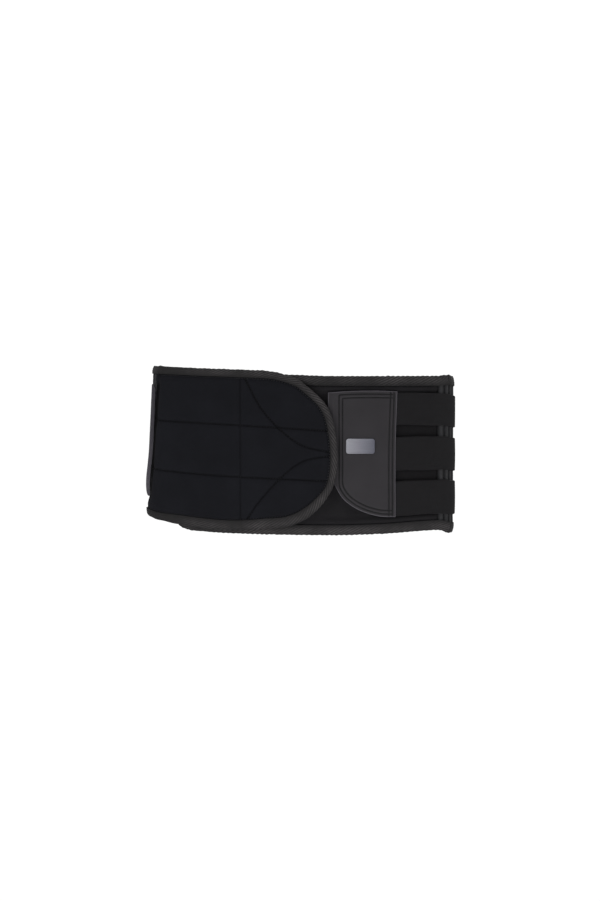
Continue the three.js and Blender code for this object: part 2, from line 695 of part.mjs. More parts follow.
// The left tab leaves the fold nearly straight forwards, so that its free end stands off the gusset
const leftTabLift = (s, z) => {
  const past = Math.max(0, s - at.leftFold) / (at.leftTabEdge + TAB_LENGTH - at.leftFold);
  return past ** 2 * mix(TAB_FOOT_LIFT, TAB_TOP_LIFT, z / BELT_HEIGHT);
};
addPiece('left_tab', tabSolid(at.leftTabEdge, 1, leftTabLift), rubber);

// Badge plate, flat on the right tab
function roundedRectangle(length, height, corner) {
  const shape = new THREE.Shape();
  const [x, y] = [length / 2 - corner, height / 2 - corner];
  [[x, -y], [x, y], [-x, y], [-x, -y]].forEach(([cornerX, cornerY], k) => {
    shape.absarc(cornerX, cornerY, corner, ((k - 1) * Math.PI) / 2, (k * Math.PI) / 2);
  });
  return shape;
}

const badgePlace = at.rightTabEdge - BADGE_REACH;
const badgeOut = TAB_THICKNESS + 2 * CLEARANCE;
const badgeShape = roundedRectangle(BADGE_LENGTH, BADGE_HEIGHT, BADGE_CORNER);
const badge = addPiece('badge', new THREE.ExtrudeGeometry(badgeShape, {
  depth: BADGE_THICKNESS,
  bevelEnabled: false,
  curveSegments: 3,
}), plate);
badge.position.copy(wallPoint(badgePlace, stripMiddle(badgePlace) + BADGE_RISE, badgeOut));
badge.rotation.order = 'ZXY';
badge.rotation.x = Math.PI / 2;
badge.rotation.z = badgePlace / FRONT_RADIUS;

// The origin goes under the middle of the belt, on the surface that it stands on
const box = new THREE.Box3().setFromObject(belt, true);
const middle = box.getCenter(new THREE.Vector3());
belt.position.set(-middle.x, -middle.y, -box.min.z);

export default belt;
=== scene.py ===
"""The looks of a kidney belt, built around its CAD frame.

The belt is a strip laid round an oval. A place on it is (s, z): s is the arc length in millimetres from the
front middle, first to the right, and z is the height. The strip starts with the right panel's hidden end at
negative s and ends a full turn later with the flap. A third value, out, is the distance outwards.
"""

import math

import bpy
import numpy as np
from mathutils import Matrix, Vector


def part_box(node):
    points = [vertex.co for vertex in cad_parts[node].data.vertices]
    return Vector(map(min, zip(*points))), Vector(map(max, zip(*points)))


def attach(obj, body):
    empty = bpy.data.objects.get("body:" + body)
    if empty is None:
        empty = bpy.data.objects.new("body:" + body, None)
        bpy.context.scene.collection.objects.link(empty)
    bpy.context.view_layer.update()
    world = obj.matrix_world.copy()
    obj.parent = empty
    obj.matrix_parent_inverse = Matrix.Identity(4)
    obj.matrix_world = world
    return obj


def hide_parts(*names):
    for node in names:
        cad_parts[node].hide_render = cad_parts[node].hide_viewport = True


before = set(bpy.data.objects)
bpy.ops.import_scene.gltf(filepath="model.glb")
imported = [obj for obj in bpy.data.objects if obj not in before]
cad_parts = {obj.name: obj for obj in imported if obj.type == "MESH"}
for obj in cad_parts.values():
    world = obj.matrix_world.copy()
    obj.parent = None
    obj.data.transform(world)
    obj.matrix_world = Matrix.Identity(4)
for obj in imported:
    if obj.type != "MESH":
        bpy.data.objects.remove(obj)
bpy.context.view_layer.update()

# Sizes of the CAD part, in millimetres
HALF_WIDTH = 190.2
HALF_DEPTH = 60.0
FOLD_RADIUS = 40.0
BELT_HEIGHT = 206.0
LEFT_LEAN_DEG = 3.2
LEAN_PIVOT_HEIGHT = 84.5
LEAN_REACH = 69.0
PANEL_THICKNESS = 3.6
TAPE_THICKNESS = 0.9
FLAP_TAPE_WIDTH = 9.5
RIGHT_TAPE_WIDTH = 12.0
RIB_PITCH = 9.8
CLEARANCE = 0.3
BAND_WIDTH = 39.0
BAND_THICKNESS = 1.4
BAND_MARGIN = 8.0
BAND_LIFT = 0.6
BAND_CLOSING = 2.2
BACK_GAP = 91.0
TAB_LENGTH = 81.0
TAB_THICKNESS = 2.6
TAB_OVERHANG = 1.5
TAB_POCKET = 8.0
BADGE_LENGTH = 34.0
BADGE_HEIGHT = 18.0
BADGE_THICKNESS = 1.0
BADGE_CORNER = 3.0
BADGE_REACH = 42.3
BADGE_RISE = 11.3

# Relief that only the looks have, in millimetres
SEAM_LAP = 0.2  # how far pieces that meet at a seam run into it
LEFT_SEAM_LAP = 1.0  # the same at the foot of the left seam, which leans
SEAM_DEPTH = 1.3  # dip of a panel at a seam
PADDING = 1.5  # swell of the padded cloth between its seams
PADDING_REACH = 6.0  # how far from a seam the swell builds up
PINCH_DEPTH = 0.8  # extra dip right beside a seam or tape
PINCH_REACH = 1.8
BAND_PRESS = 2.3  # how deep the bands press into the panel
BAND_ROUND = 0.035  # share of a band's half width that its edge is rounded over
BAND_CROWN = 0.25
BAND_RAISE = 1.0  # how much higher each band lies than the one above it, beside the tab
BAND_SPREAD = 0.6  # how much wider each half is than that of the band above it
WEBBING_PITCH = 1.95
BOX_REACH = 16  # box sewn at a band's end
BOX_INSET = 4
FLAP_ROLL = 4.0  # how far the flap's sewn side rolls into the left fold
DIP_UNDER_TAB = 3.0  # of the left gusset
DIP_BEYOND_TAB = 2.0
LEFT_TAB_DROOP = 5  # of the left tab's free end
DROOP_REACH = (30, 78)  # from the tab's band side, where the droop starts and is full
FOOT_SAG = 3.8  # how many droops more the tab's foot sags
LEFT_TAB_EXTRA = 2.4  # how much thicker the left tab's free end is
TWILL_PITCH = 6.1  # along the tape
TWILL_SLANT = 2.1  # along the tape for each millimetre across it
TWILL_HEIGHT = 0.62
TWILL_WANDER = 0.5
TAPE_WRINKLE = 0.14
STITCH_INSET = 1.1  # from a tape's inner edge
ROW_INSETS = (3.85, 7.95)  # sewn rows of a tab, from its edge
ROW_EXTRA = 9.4  # how much further in the rows lie at the free edge
RIB_RELIEF = 1.6
# The badge's edge: how far in, and how far below its face
BADGE_PROFILE = [(0, 0.25), (0.25, 0), (1.1, 0), (1.4, 0.2), (2.2, 0.2)]

# Fineness of the meshes: columns along the strip and rows up it, and cuts across a tape
RIGHT_GRID = (170, 100)
FLAP_GRID = (216, 180)
BACK_GRID = (120, 70)
GUSSET_GRID = (190, 50)
RIGHT_TAB_GRID = (120, 200)
LEFT_TAB_GRID = (90, 150)
TAPE_CUTS, BACK_TAPE_CUTS, HIDDEN_CUTS = 26, 14, 9

END_REACH = HALF_WIDTH - FOLD_RADIUS
FRONT_RADIUS = (END_REACH**2 + HALF_DEPTH**2 - FOLD_RADIUS**2) / (2 * (HALF_DEPTH - FOLD_RADIUS))
TURN = math.asin(END_REACH / (FRONT_RADIUS - FOLD_RADIUS))
FRONT_ARC = FRONT_RADIUS * TURN
FOLD_ARC = FOLD_RADIUS * (math.pi - 2 * TURN)
HALF_LOOP = 2 * FRONT_ARC + FOLD_ARC
LEAN_SLOPE = math.tan(math.radians(LEFT_LEAN_DEG))

# Places along the strip, in shares of half the loop
PLACES = {
    "tab_edge": 0.287,
    "right_seam": 0.41,
    "tape_joint": 0.45,
    "back_seam_right": 0.59,
    "back": 1,
    "left_tab_edge": 1.354,
    "back_seam_left": 1.41,
    "flap_leaves": 1.46,
    "left_fold": 1.5,
    "left_seam_foot": 1.544,
    "left_seam_top": 1.593,
    "flap_is_over": 1.65,
    "flap_climbs": 1.954,
    "front_again": 2,
    "flap_is_on_tab": 2.093,
}
at = {name: share * HALF_LOOP for name, share in PLACES.items()}

# Along in shares of half the loop; top, bottom and height in shares of the belt's height
STRIP = np.array([
    (-0.36, 0.93, 0.014), (-0.2, 0.934, 0.003), (-0.04, 0.939, 0), (0.104, 0.931, 0), (0.243, 0.93, 0.008),
    (0.41, 0.932, 0.028), (0.4375, 0.938, 0.019), (0.47, 0.936, 0.004), (0.52, 0.932, 0), (1, 0.937, 0),
    (1.17, 0.957, 0), (1.31, 0.981, 0), (1.38, 0.991, 0.02), (1.41, 0.995, 0.042), (1.5, 1, 0.088),
    (1.547, 0.999, 0.09), (1.593, 0.9957, 0.074),
])
RIGHT_END = [
    (-0.27, 0.93), (-0.318, 0.913), (-0.345, 0.865), (-0.359, 0.75), (-0.362, 0.45), (-0.36, 0.16),
    (-0.352, 0.068), (-0.333, 0.028), (-0.3, 0.0095),
]
RIGHT_CORNERS = (2, 6)
FLAP_OUTLINE = [
    (-0.407, 0.9957), (-0.27, 0.98), (-0.146, 0.969), (-0.065, 0.959), (-0.022, 0.938), (0.0185, 0.906),
    (0.0405, 0.871), (0.088, 0.777), (0.113, 0.664), (0.1245, 0.471), (0.1155, 0.301), (0.0835, 0.185),
    (0.0425, 0.103), (-0.012, 0.0525), (-0.075, 0.0385), (-0.146, 0.0252), (-0.212, 0.0248), (-0.319, 0.0437),
    (-0.407, 0.073), (-0.456, 0.09),
]
FLAP_CORNERS = (6, 12)
FLAP_SEAMS = {
    "upper": [(-0.43, 0.672), (-0.146, 0.642), (0.11, 0.609)],
    "lower": [(-0.45, 0.382), (-0.241, 0.348), (0.11, 0.318)],
    "upright": [(-0.148, 0.965), (-0.148, 0.03)],
    "upper_curve": [
        (-0.143, 0.95), (-0.132, 0.908), (-0.086, 0.736), (-0.0227, 0.597), (0.036, 0.519), (0.11, 0.487),
    ],
    "lower_curve": [
        (-0.14, 0.05), (-0.127, 0.095), (-0.09, 0.204), (-0.0227, 0.355), (0.033, 0.436), (0.11, 0.466),
    ],
}
# The tab: reach from its band edge in shares of its length, rise from its middle in shares of its height
TAB_TOP = [(1, 0.499), (0.75, 0.508), (0.5, 0.511), (0.22, 0.508), (-0.022, 0.499)]
TAB_BAND_EDGE = [(0, -0.493), (0.004, -0.04), (-0.003, 0.2), (-0.022, 0.499)]
TAB_FOOT = [(0.936, -0.194), (0.802, -0.323), (0.654, -0.395), (0.462, -0.449), (0.237, -0.484), (0, -0.493)]
TAB_FREE_EDGE = [(0.936, -0.194), (0.985, -0.06), (1, 0.1), (1, 0.499)]

rng = np.random.default_rng(7)


# The strip's shape, as in the CAD source


def ease(value, start, end):
    t = np.clip((np.asarray(value, float) - start) / (end - start), 0, 1)
    return t * t * (3 - 2 * t)


def hump(distance, reach):
    """Bell of height 1 round a place."""
    return np.exp(-((distance / reach) ** 2))


def read_strip(column, along):
    """A column of the strip table by a cubic that never swings past its rows."""
    x, y = STRIP[:, 0], STRIP[:, column]
    slope = np.diff(y) / np.diff(x)
    before, after = np.concatenate([[0], slope]), np.concatenate([slope, [0]])
    both = before + after
    tangent = np.where(before * after > 0, 2 * before * after / np.where(both == 0, 1, both), 0)
    along = np.asarray(along, float)
    i = np.clip(np.searchsorted(x, along, side="right") - 1, 0, len(x) - 2)
    width = x[i + 1] - x[i]
    t = np.clip((along - x[i]) / width, 0, 1)
    value = (2 * t**3 - 3 * t**2 + 1) * y[i] + (3 * t**2 - 2 * t**3) * y[i + 1]
    return value + ((t**3 - 2 * t**2 + t) * tangent[i] + (t**3 - t**2) * tangent[i + 1]) * width


def strip_top(s):
    return BELT_HEIGHT * read_strip(1, np.asarray(s) / HALF_LOOP)


def strip_bottom(s):
    return BELT_HEIGHT * read_strip(2, np.asarray(s) / HALF_LOOP)


def strip_middle(s):
    return (strip_top(s) + strip_bottom(s)) / 2


def oval(s):
    """Point and outward direction of the oval at arc length s."""
    s = np.asarray(s, float)
    wrapped = s - 2 * HALF_LOOP * np.round(s / (2 * HALF_LOOP))
    side = np.where(wrapped < 0, -1.0, 1.0)
    length = np.abs(wrapped)
    back = length > FRONT_ARC + FOLD_ARC
    fold = (length > FRONT_ARC) & ~back
    rest = FRONT_RADIUS - HALF_DEPTH
    cx = np.where(fold, END_REACH, 0)
    cy = np.where(fold, 0, np.where(back, -rest, rest))
    radius = np.where(fold, FOLD_RADIUS, FRONT_RADIUS)
    angle = np.where(
        fold,
        TURN + (length - FRONT_ARC) / FOLD_RADIUS,
        np.where(back, math.pi - (HALF_LOOP - length) / FRONT_RADIUS, length / FRONT_RADIUS),
    )
    nx, ny = side * np.sin(angle), -np.cos(angle)
    return side * cx + radius * nx, cy + radius * ny, nx, ny


FLAP_STACK = PANEL_THICKNESS + 2 * TAPE_THICKNESS + 3 * CLEARANCE
TAB_STACK = TAB_THICKNESS - TAPE_THICKNESS
# The frame's origin is under the middle of the whole belt, a little off the oval's middle
SHIFT = (
    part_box("right_band_middle")[1].x * 1000 - (HALF_WIDTH + BAND_LIFT + CLEARANCE + BAND_THICKNESS),
    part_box("back_panel")[1].y * 1000 - HALF_DEPTH,
)


def wall(s, z, out):
    """Point of the strip, in metres of the part's frame."""
    s, z, out = np.broadcast_arrays(np.asarray(s, float), np.asarray(z, float), np.asarray(out, float))
    x, y, nx, ny = oval(s)
    turns = (s - at["left_fold"]) / (2 * HALF_LOOP)
    to_fold = np.abs(turns - np.round(turns)) * 2 * HALF_LOOP
    lean = LEAN_SLOPE * (LEAN_PIVOT_HEIGHT - z) * (1 - ease(to_fold, 0, LEAN_REACH))
    rise = FLAP_STACK * ease(s, at["flap_leaves"], at["flap_is_over"])
    rise = rise + TAB_STACK * ease(s, at["flap_climbs"], at["flap_is_on_tab"])
    reach = rise + lean + out
    return np.stack([x + nx * reach + SHIFT[0], y + ny * reach + SHIFT[1], z], -1) / 1000


# Lines on the wall


def smooth_line(rows, step, first=0, last=None):
    """A Catmull-Rom line through the rows (s, z), from one row to another, in steps of about a given length."""
    rows = np.asarray(rows, float)
    last = len(rows) - 1 if last is None else last
    points = []
    for i in range(first, last):
        p0, p1, p2, p3 = rows[max(i - 1, 0)], rows[i], rows[i + 1], rows[min(i + 2, len(rows) - 1)]
        cuts = max(1, round(float(np.hypot(*(p2 - p1))) / step))
        t = (np.arange(cuts) / cuts)[:, None]
        v0, v1 = (p2 - p0) / 2, (p3 - p1) / 2
        cubic, square = 2 * p1 - 2 * p2 + v0 + v1, -3 * p1 + 3 * p2 - 2 * v0 - v1
        points.append(cubic * t**3 + square * t**2 + v0 * t + p1)
    return np.concatenate([*points, rows[last : last + 1]])


def lengths_of(line):
    return np.concatenate([[0], np.cumsum(np.hypot(*np.diff(line, axis=0).T))])


def points_on(line, shares):
    length = lengths_of(line)
    goal = np.asarray(shares) * length[-1]
    return np.stack([np.interp(goal, length, line[:, 0]), np.interp(goal, length, line[:, 1])], -1)


def evenly(line, count):
    return points_on(line, np.linspace(0, 1, count))


def resample(line, step):
    return evenly(line, max(2, round(lengths_of(line)[-1] / step) + 1))


def across(line):
    """Unit direction to the left of the line's run at each of its points."""
    run = np.gradient(line, axis=0)
    run /= np.hypot(run[:, 0], run[:, 1])[:, None]
    return np.stack([-run[:, 1], run[:, 0]], -1)


def moved(line, distance):
    return line + across(line) * distance


def softened(line, reach, step=0.5):
    """The line with its corners rounded over about the given reach."""
    line = resample(line, step)
    half = math.ceil(2 * reach / step)
    weight = np.exp(-0.5 * (np.arange(-half, half + 1) * step / reach) ** 2)
    weight /= weight.sum()
    before = 2 * line[0] - line[half:0:-1]
    after = 2 * line[-1] - line[-2 : -half - 2 : -1]
    longer = np.concatenate([before, line, after])
    return np.stack([np.convolve(longer[:, k], weight, "valid") for k in (0, 1)], -1)


def near_line(s, z, line):
    """Distance from each place to a finely sampled line."""
    flat = np.stack([np.ravel(s), np.ravel(z)], -1)
    best = np.empty(len(flat))
    for k in range(0, len(flat), 20000):
        part = flat[k : k + 20000]
        gap = (part[:, None, 0] - line[None, :, 0]) ** 2 + (part[:, None, 1] - line[None, :, 1]) ** 2
        best[k : k + 20000] = np.sqrt(gap.min(1))
    return best.reshape(np.shape(s))


def waves(s, z, pitch, seed, count=7):
    """Smooth unevenness between about -1 and 1, from a few seeded waves."""
    r = np.random.default_rng(seed)
    total = np.zeros(np.broadcast(s, z).shape)
    for _ in range(count):
        angle, phase = r.uniform(0, math.pi), r.uniform(0, 2 * math.pi)
        size = pitch * r.uniform(0.7, 1.5)
        total = total + np.sin(2 * math.pi * (s * math.cos(angle) + z * math.sin(angle)) / size + phase)
    return total / math.sqrt(count)


# Meshes


def new_object(name, points, faces, values=None, uv=None, material=None, sharp=None):
    mesh = bpy.data.meshes.new(name)
    mesh.from_pydata(np.asarray(points).reshape(-1, 3).tolist(), [], faces)
    for key, value in (values or {}).items():
        attribute = mesh.attributes.new(key, "FLOAT", "POINT")
        attribute.data.foreach_set("value", np.asarray(value, np.float32).ravel())
    if uv is not None:
        layer = mesh.uv_layers.new(name="place")
        index = np.empty(len(mesh.loops), np.int32)
        mesh.loops.foreach_get("vertex_index", index)
        layer.data.foreach_set("uv", np.asarray(uv, np.float32).reshape(-1, 2)[index].ravel())
    mesh.shade_smooth()
    if sharp is not None:
        mesh.set_sharp_from_angle(angle=math.radians(sharp))
    if material:
        mesh.materials.append(material)
    obj = bpy.data.objects.new(name, mesh)
    bpy.context.scene.collection.objects.link(obj)
    outwards(mesh)
    return obj


def outwards(mesh):
    """Turns the faces of a closed mesh outwards."""
    mesh.calc_loop_triangles()
    co = np.empty(len(mesh.vertices) * 3)
    mesh.vertices.foreach_get("co", co)
    tri = np.empty(len(mesh.loop_triangles) * 3, np.int32)
    mesh.loop_triangles.foreach_get("vertices", tri)
    co, tri = co.reshape(-1, 3), tri.reshape(-1, 3)
    co = co - co.mean(0)
    if np.einsum("ij,ij->i", co[tri[:, 0]], np.cross(co[tri[:, 1]], co[tri[:, 2]])).sum() < 0:
        mesh.flip_normals()


def grid_faces(rows, columns, start=0, flip=False, closed=False):
    """Quads of a grid of rows by columns; closed joins the last column to the first."""
    i = np.arange(rows - 1)[:, None]
    j = np.arange(columns if closed else columns - 1)[None, :]
    k = (j + 1) % columns
    a, b = i * columns + j + start, (i + 1) * columns + j + start
    c, d = (i + 1) * columns + k + start, i * columns + k + start
    quads = np.stack([a, d, c, b] if flip else [a, b, c, d], -1).reshape(-1, 4)
    return quads.tolist()


def rim_faces(rows, columns, gap):
    """Quads that join the borders of two equal grids, the second one starting gap vertices on."""
    i = np.arange(rows)[:, None] * columns
    ring = np.concatenate([
        np.arange(columns), (i[1:, 0] + columns - 1), np.arange(columns - 2, -1, -1) + (rows - 1) * columns,
        i[-2:0:-1, 0],
    ])
    after = np.roll(ring, -1)
    return np.stack([ring, ring + gap, after + gap, after], -1).tolist()


TAPE_FRONT = CLEARANCE + TAPE_THICKNESS
TAPE_MIDDLE = -PANEL_THICKNESS / 2
TAPE_HALF = TAPE_FRONT - TAPE_MIDDLE


def tucked(out, distance, width):
    """A panel's face, kept inside the tape round its edge at a distance from the tape's fold."""
    share = np.clip(1 - distance / width, 0, 1)
    room = (TAPE_HALF - TAPE_THICKNESS) * np.sqrt(1 - share**2)
    return np.where(distance < width, np.clip(out, TAPE_MIDDLE - room, TAPE_MIDDLE + room), out)


def slab(name, s, z, inner, outer, material, values=None, edge=None, sharp=50):
    """Closed piece between two faces over a grid of places. edge is the distance from the fold of the tape
    round it, and the tape's width."""
    rows, columns = s.shape
    count = rows * columns
    faces_out = [np.broadcast_to(np.asarray(face, float), s.shape) for face in (outer, inner)]
    if edge:
        faces_out = [tucked(face, *edge) for face in faces_out]
    points = np.concatenate([wall(s, z, face).reshape(-1, 3) for face in faces_out])
    faces = grid_faces(rows, columns) + grid_faces(rows, columns, count, flip=True)
    faces += rim_faces(rows, columns, count)
    both = {key: np.concatenate([np.ravel(value)] * 2) for key, value in (values or {}).items()}
    uv = np.stack([s, z], -1).reshape(-1, 2) / 1000
    return new_object(name, points, faces, both, np.concatenate([uv] * 2), material, sharp)


def patch(top, foot, start, end):
    """Grid of places over a four-sided patch; top and foot hold one place a column, start and end one a row."""
    u = ((foot[:, 0] - foot[0, 0]) / (foot[-1, 0] - foot[0, 0]))[:, None, None]
    v = np.linspace(0, 1, len(start))[None, :, None]
    ruled = foot[:, None] * (1 - v) + top[:, None] * v + start[None] * (1 - u) + end[None] * u
    corners = (foot[0] * (1 - u) + foot[-1] * u) * (1 - v) + (top[0] * (1 - u) + top[-1] * u) * v
    both = ruled - corners
    return both[..., 0], both[..., 1]


def sweep(name, line, section, material, values=None, sharp=50):
    """Closed piece swept along a line on the wall. section gives, for each of the line's points, the side and
    out of every corner, as two arrays of (points, corners)."""
    side, out = section
    left = across(line)
    s = line[:, :1] + left[:, :1] * side
    z = line[:, 1:] + left[:, 1:] * side
    rows, columns = s.shape
    points = wall(s, z, out)
    faces = grid_faces(rows, columns, closed=True)
    faces += [list(range(columns))[::-1], list(range((rows - 1) * columns, rows * columns))]
    along = np.repeat(lengths_of(line)[:, None], columns, 1)
    step = np.hypot(np.diff(side, axis=1, prepend=side[:, :1]), np.diff(out, axis=1, prepend=out[:, :1]))
    uv = np.stack([along, np.cumsum(step, 1)], -1) / 1000
    return new_object(name, points, faces, values, uv, material, sharp)


def stitches(name, lines, out, material, length=2.4, gap=0.9, radius=0.3):
    """Rows of sewn stitches along lines on the wall, as one mesh; out is a number or a function of (s, z)."""
    share = np.linspace(0, 1, 5)
    ring = np.linspace(0, 2 * math.pi, 6)[:-1]
    arch = np.sin(math.pi * share)
    thick = radius * (0.5 + 0.5 * arch)[:, None]
    points, faces = [], []
    for line in lines:
        total = lengths_of(line)[-1]
        for start in np.arange(gap, total - length, length + gap):
            middle = points_on(line, (start + share * length) / total)
            middle[:, 1] += rng.normal(0, 0.06)
            left = across(middle)
            base = out(*middle.T) if callable(out) else out
            height = (base + radius * (1.6 * arch - 1) + rng.normal(0, 0.03))[:, None]
            s = middle[:, :1] + left[:, :1] * thick * np.cos(ring)
            z = middle[:, 1:] + left[:, 1:] * thick * np.cos(ring)
            first = len(points) * s.size
            points.append(wall(s, z, height + thick * np.sin(ring)).reshape(-1, 3))
            faces += grid_faces(len(share), len(ring), first, closed=True)
            caps = [first + k for k in range(len(ring))]
            faces += [caps[::-1], [k + s.size - len(ring) for k in caps]]
    return new_object(name, np.concatenate(points), faces, material=material)


# Materials


class Shader:
    """A material's node tree, with short calls for its nodes."""

    def __init__(self, name, roughness, specular, sheen=0.0):
        self.material = bpy.data.materials.new(name)
        self.material.use_nodes = True
        self.tree = self.material.node_tree
        self.bsdf = self.tree.nodes["Principled BSDF"]
        for key, value in (("Roughness", roughness), ("Specular IOR Level", specular), ("Sheen Weight", sheen)):
            self.bsdf.inputs[key].default_value = value

    def node(self, kind, inputs=None, **settings):
        node = self.tree.nodes.new(kind)
        for key, value in settings.items():
            setattr(node, key, value)
        for key, value in (inputs or {}).items():
            self.put(node.inputs[key], value)
        return node

    def put(self, socket, value):
        if isinstance(value, bpy.types.NodeSocket):
            self.tree.links.new(value, socket)
        else:
            socket.default_value = value

    def math(self, operation, a, b=0.0, c=0.0):
        return self.node("ShaderNodeMath", {0: a, 1: b, 2: c}, operation=operation).outputs[0]

    def value(self, name):
        return self.node("ShaderNodeAttribute", attribute_name=name).outputs["Fac"]

    def place(self, scale=(1, 1, 1)):
        uv = self.node("ShaderNodeUVMap", uv_map="place").outputs[0]
        return self.node("ShaderNodeMapping", {"Vector": uv, "Scale": scale}).outputs[0]

    def point(self):
        return self.node("ShaderNodeTexCoord").outputs["Object"]

    def noise(self, vector, scale, detail=2.0):
        inputs = {"Vector": vector, "Scale": scale, "Detail": detail}
        return self.node("ShaderNodeTexNoise", inputs).outputs["Fac"]

    def wave(self, vector, scale, distortion=0.0, bands="X"):
        inputs = {"Vector": vector, "Scale": scale, "Distortion": distortion, "Detail Scale": 2.0}
        return self.node("ShaderNodeTexWave", inputs, bands_direction=bands).outputs["Fac"]

    def ramp(self, value, stops):
        """Colour ramp over the value between two stops, each a position and a colour."""
        node = self.node("ShaderNodeValToRGB", {"Fac": value})
        for element, (position, color) in zip(node.color_ramp.elements, stops, strict=True):
            element.position = position
            element.color = (*color, 1)
        return node.outputs["Color"]

    def mix(self, a, b, factor, kind="MIX"):
        node = self.node("ShaderNodeMix", data_type="RGBA", blend_type=kind)
        self.put(node.inputs["Factor"], factor)
        self.put(node.inputs["A"], a)
        self.put(node.inputs["B"], b)
        return node.outputs["Result"]

    def mottled(self, color, noise, depth):
        """The colour, lighter and darker by a share of depth with the noise."""
        around = self.ramp(noise, [(0.3, (1 - depth,) * 3), (0.7, (1 + depth,) * 3)])
        return self.mix(color, around, 1.0, "MULTIPLY")

    def bump(self, height, distance, strength=0.5, normal=None):
        inputs = {"Height": height, "Distance": distance, "Strength": strength}
        if normal is not None:
            inputs["Normal"] = normal
        return self.node("ShaderNodeBump", inputs).outputs[0]

    def finish(self, color, normal, roughness=None):
        self.put(self.bsdf.inputs["Base Color"], color)
        self.put(self.bsdf.inputs["Normal"], normal)
        if roughness is not None:
            self.put(self.bsdf.inputs["Roughness"], roughness)
        return self.material


def tone(*srgb):
    """Linear colour of an sRGB one."""
    return tuple(((c / 255 + 0.055) / 1.055) ** 2.4 if c > 10 else c / 255 / 12.92 for c in srgb)


def opaque(color, factor=1.0):
    return (*(c * factor for c in color), 1)


def cloth_material(name, base):
    """Plain-woven cloth over thin padding."""
    sh = Shader(name, 0.9, 0.1, sheen=0.02)
    color = sh.mottled(opaque(base), sh.noise(sh.point(), 28, 3), 0.1)
    fine = sh.noise(sh.place(), 1500, 1)
    color = sh.mottled(color, fine, 0.16)
    # the seam value darkens the cloth at its sewn seams, and also paints shade on it where set so: between the
    # bands beside the right tab, and on the flap's side rolled into the left fold
    color = sh.mix(color, opaque(base, 0.2), sh.value("seam"))
    weave = sh.math("ADD", sh.wave(sh.place(), 260), sh.wave(sh.place(), 260, bands="Y"))
    return sh.finish(color, sh.bump(fine, 0.0002, 0.35, sh.bump(weave, 0.00012)))


def ribbed_material():
    sh = Shader("ribbed_stretch_cloth", 0.85, 0.15, sheen=0.06)
    # painted light on the rib crests and painted shade in the rib grooves
    color = sh.mix(opaque(RIB_GROOVE_PAINTED_SHADE), opaque(RIB_CREST_PAINTED_LIGHT), sh.value("rib_painted_light"))
    color = sh.mottled(color, sh.noise(sh.point(), 300, 3), 0.15)
    knit = sh.wave(sh.place(), 400, 1.0, bands="Y")
    return sh.finish(color, sh.bump(knit, 0.00015))


def tape_material():
    """Folded twill tape, with painted light on its slanting ridges and painted shade in its grooves."""
    sh = Shader("edge_tape_cloth", 0.7, 0.22, sheen=0.06)
    color = sh.mix(opaque(TAPE_PAINTED_SHADE), opaque(TAPE_PAINTED_LIGHT), sh.value("ridge_and_painted_light"))
    color = sh.mottled(color, sh.noise(sh.point(), 170, 3), 0.16)
    thread = sh.noise(sh.place(), 2200, 1)
    return sh.finish(sh.mottled(color, thread, 0.12), sh.bump(thread, 0.00015))


def elastic_material():
    """Elastic webbing with fine lines along it."""
    sh = Shader("elastic_webbing", 0.75, 0.15, sheen=0.03)
    color = sh.mottled(opaque(ELASTIC_TONE), sh.noise(sh.place((1, 6, 1)), 30, 3), 0.07)
    lines = sh.wave(sh.place(), 380, 0.4, bands="Y")
    color = sh.mottled(color, lines, 0.07)
    normal = sh.bump(lines, 0.00015, 0.3)
    return sh.finish(color, sh.bump(sh.wave(sh.place(), 520, 0.6), 0.0001, 0.3, normal))


def rubber_material():
    sh = Shader("tab_rubber", 0.55, 0.22)
    broad = sh.noise(sh.point(), 45, 3)
    color = sh.mottled(opaque(RUBBER_TONE), broad, 0.06)
    # painted shade in the grooves of the sewn rows
    color = sh.mix(color, opaque(GROOVE_PAINTED_SHADE), sh.value("groove_and_painted_shade"))
    # the lighter cut edge: partly the raw edge's own colour, partly painted highlight
    color = sh.mix(color, opaque(CUT_EDGE_AND_HIGHLIGHT_TONE), sh.value("cut_edge_and_highlight"))
    normal = sh.bump(sh.noise(sh.point(), 900), 0.0001, 0.35)
    return sh.finish(color, normal, sh.math("MULTIPLY_ADD", broad, 0.2, 0.48))


def plate_material():
    """Brushed plate, with painted light at its left end that fades to painted shade at its right."""
    sh = Shader("silver_grey_plate", 0.5, 0.35)
    stretched = sh.node("ShaderNodeMapping", {"Vector": sh.point(), "Scale": (0.4, 1, 14)}).outputs[0]
    brushed = sh.noise(stretched, 160, 3)
    color = sh.ramp(sh.value("rightwards"), [(0.0, PLATE_PAINTED_LIGHT_LEFT), (1.0, PLATE_PAINTED_SHADE_RIGHT)])
    return sh.finish(sh.mottled(color, brushed, 0.07), sh.bump(brushed, 0.00005, 0.25))


def thread_material(name, color):
    sh = Shader(name, 0.7, 0.3)
    twist = sh.noise(sh.point(), 1800)
    return sh.finish(sh.mottled(opaque(color), twist, 0.28), sh.bump(twist, 0.0001))


FLAP_CLOTH = cloth_material("navy_black_cloth", tone(23.5, 24, 28.5))
PANEL_CLOTH = cloth_material("black_cloth", tone(32, 31, 33))
# painted shade of the rib grooves and painted light of the rib crests
RIB_GROOVE_PAINTED_SHADE, RIB_CREST_PAINTED_LIGHT = tone(21, 21, 23), tone(54, 54, 56)
RIBBED = ribbed_material()
# painted shade of the twill grooves and painted light of the ridges
TAPE_PAINTED_SHADE, TAPE_PAINTED_LIGHT = tone(23, 22, 23), tone(73, 70, 71)
TAPE = tape_material()
ELASTIC_TONE = tone(25, 24, 26)
ELASTIC = elastic_material()
RUBBER_TONE = tone(50, 48, 51)
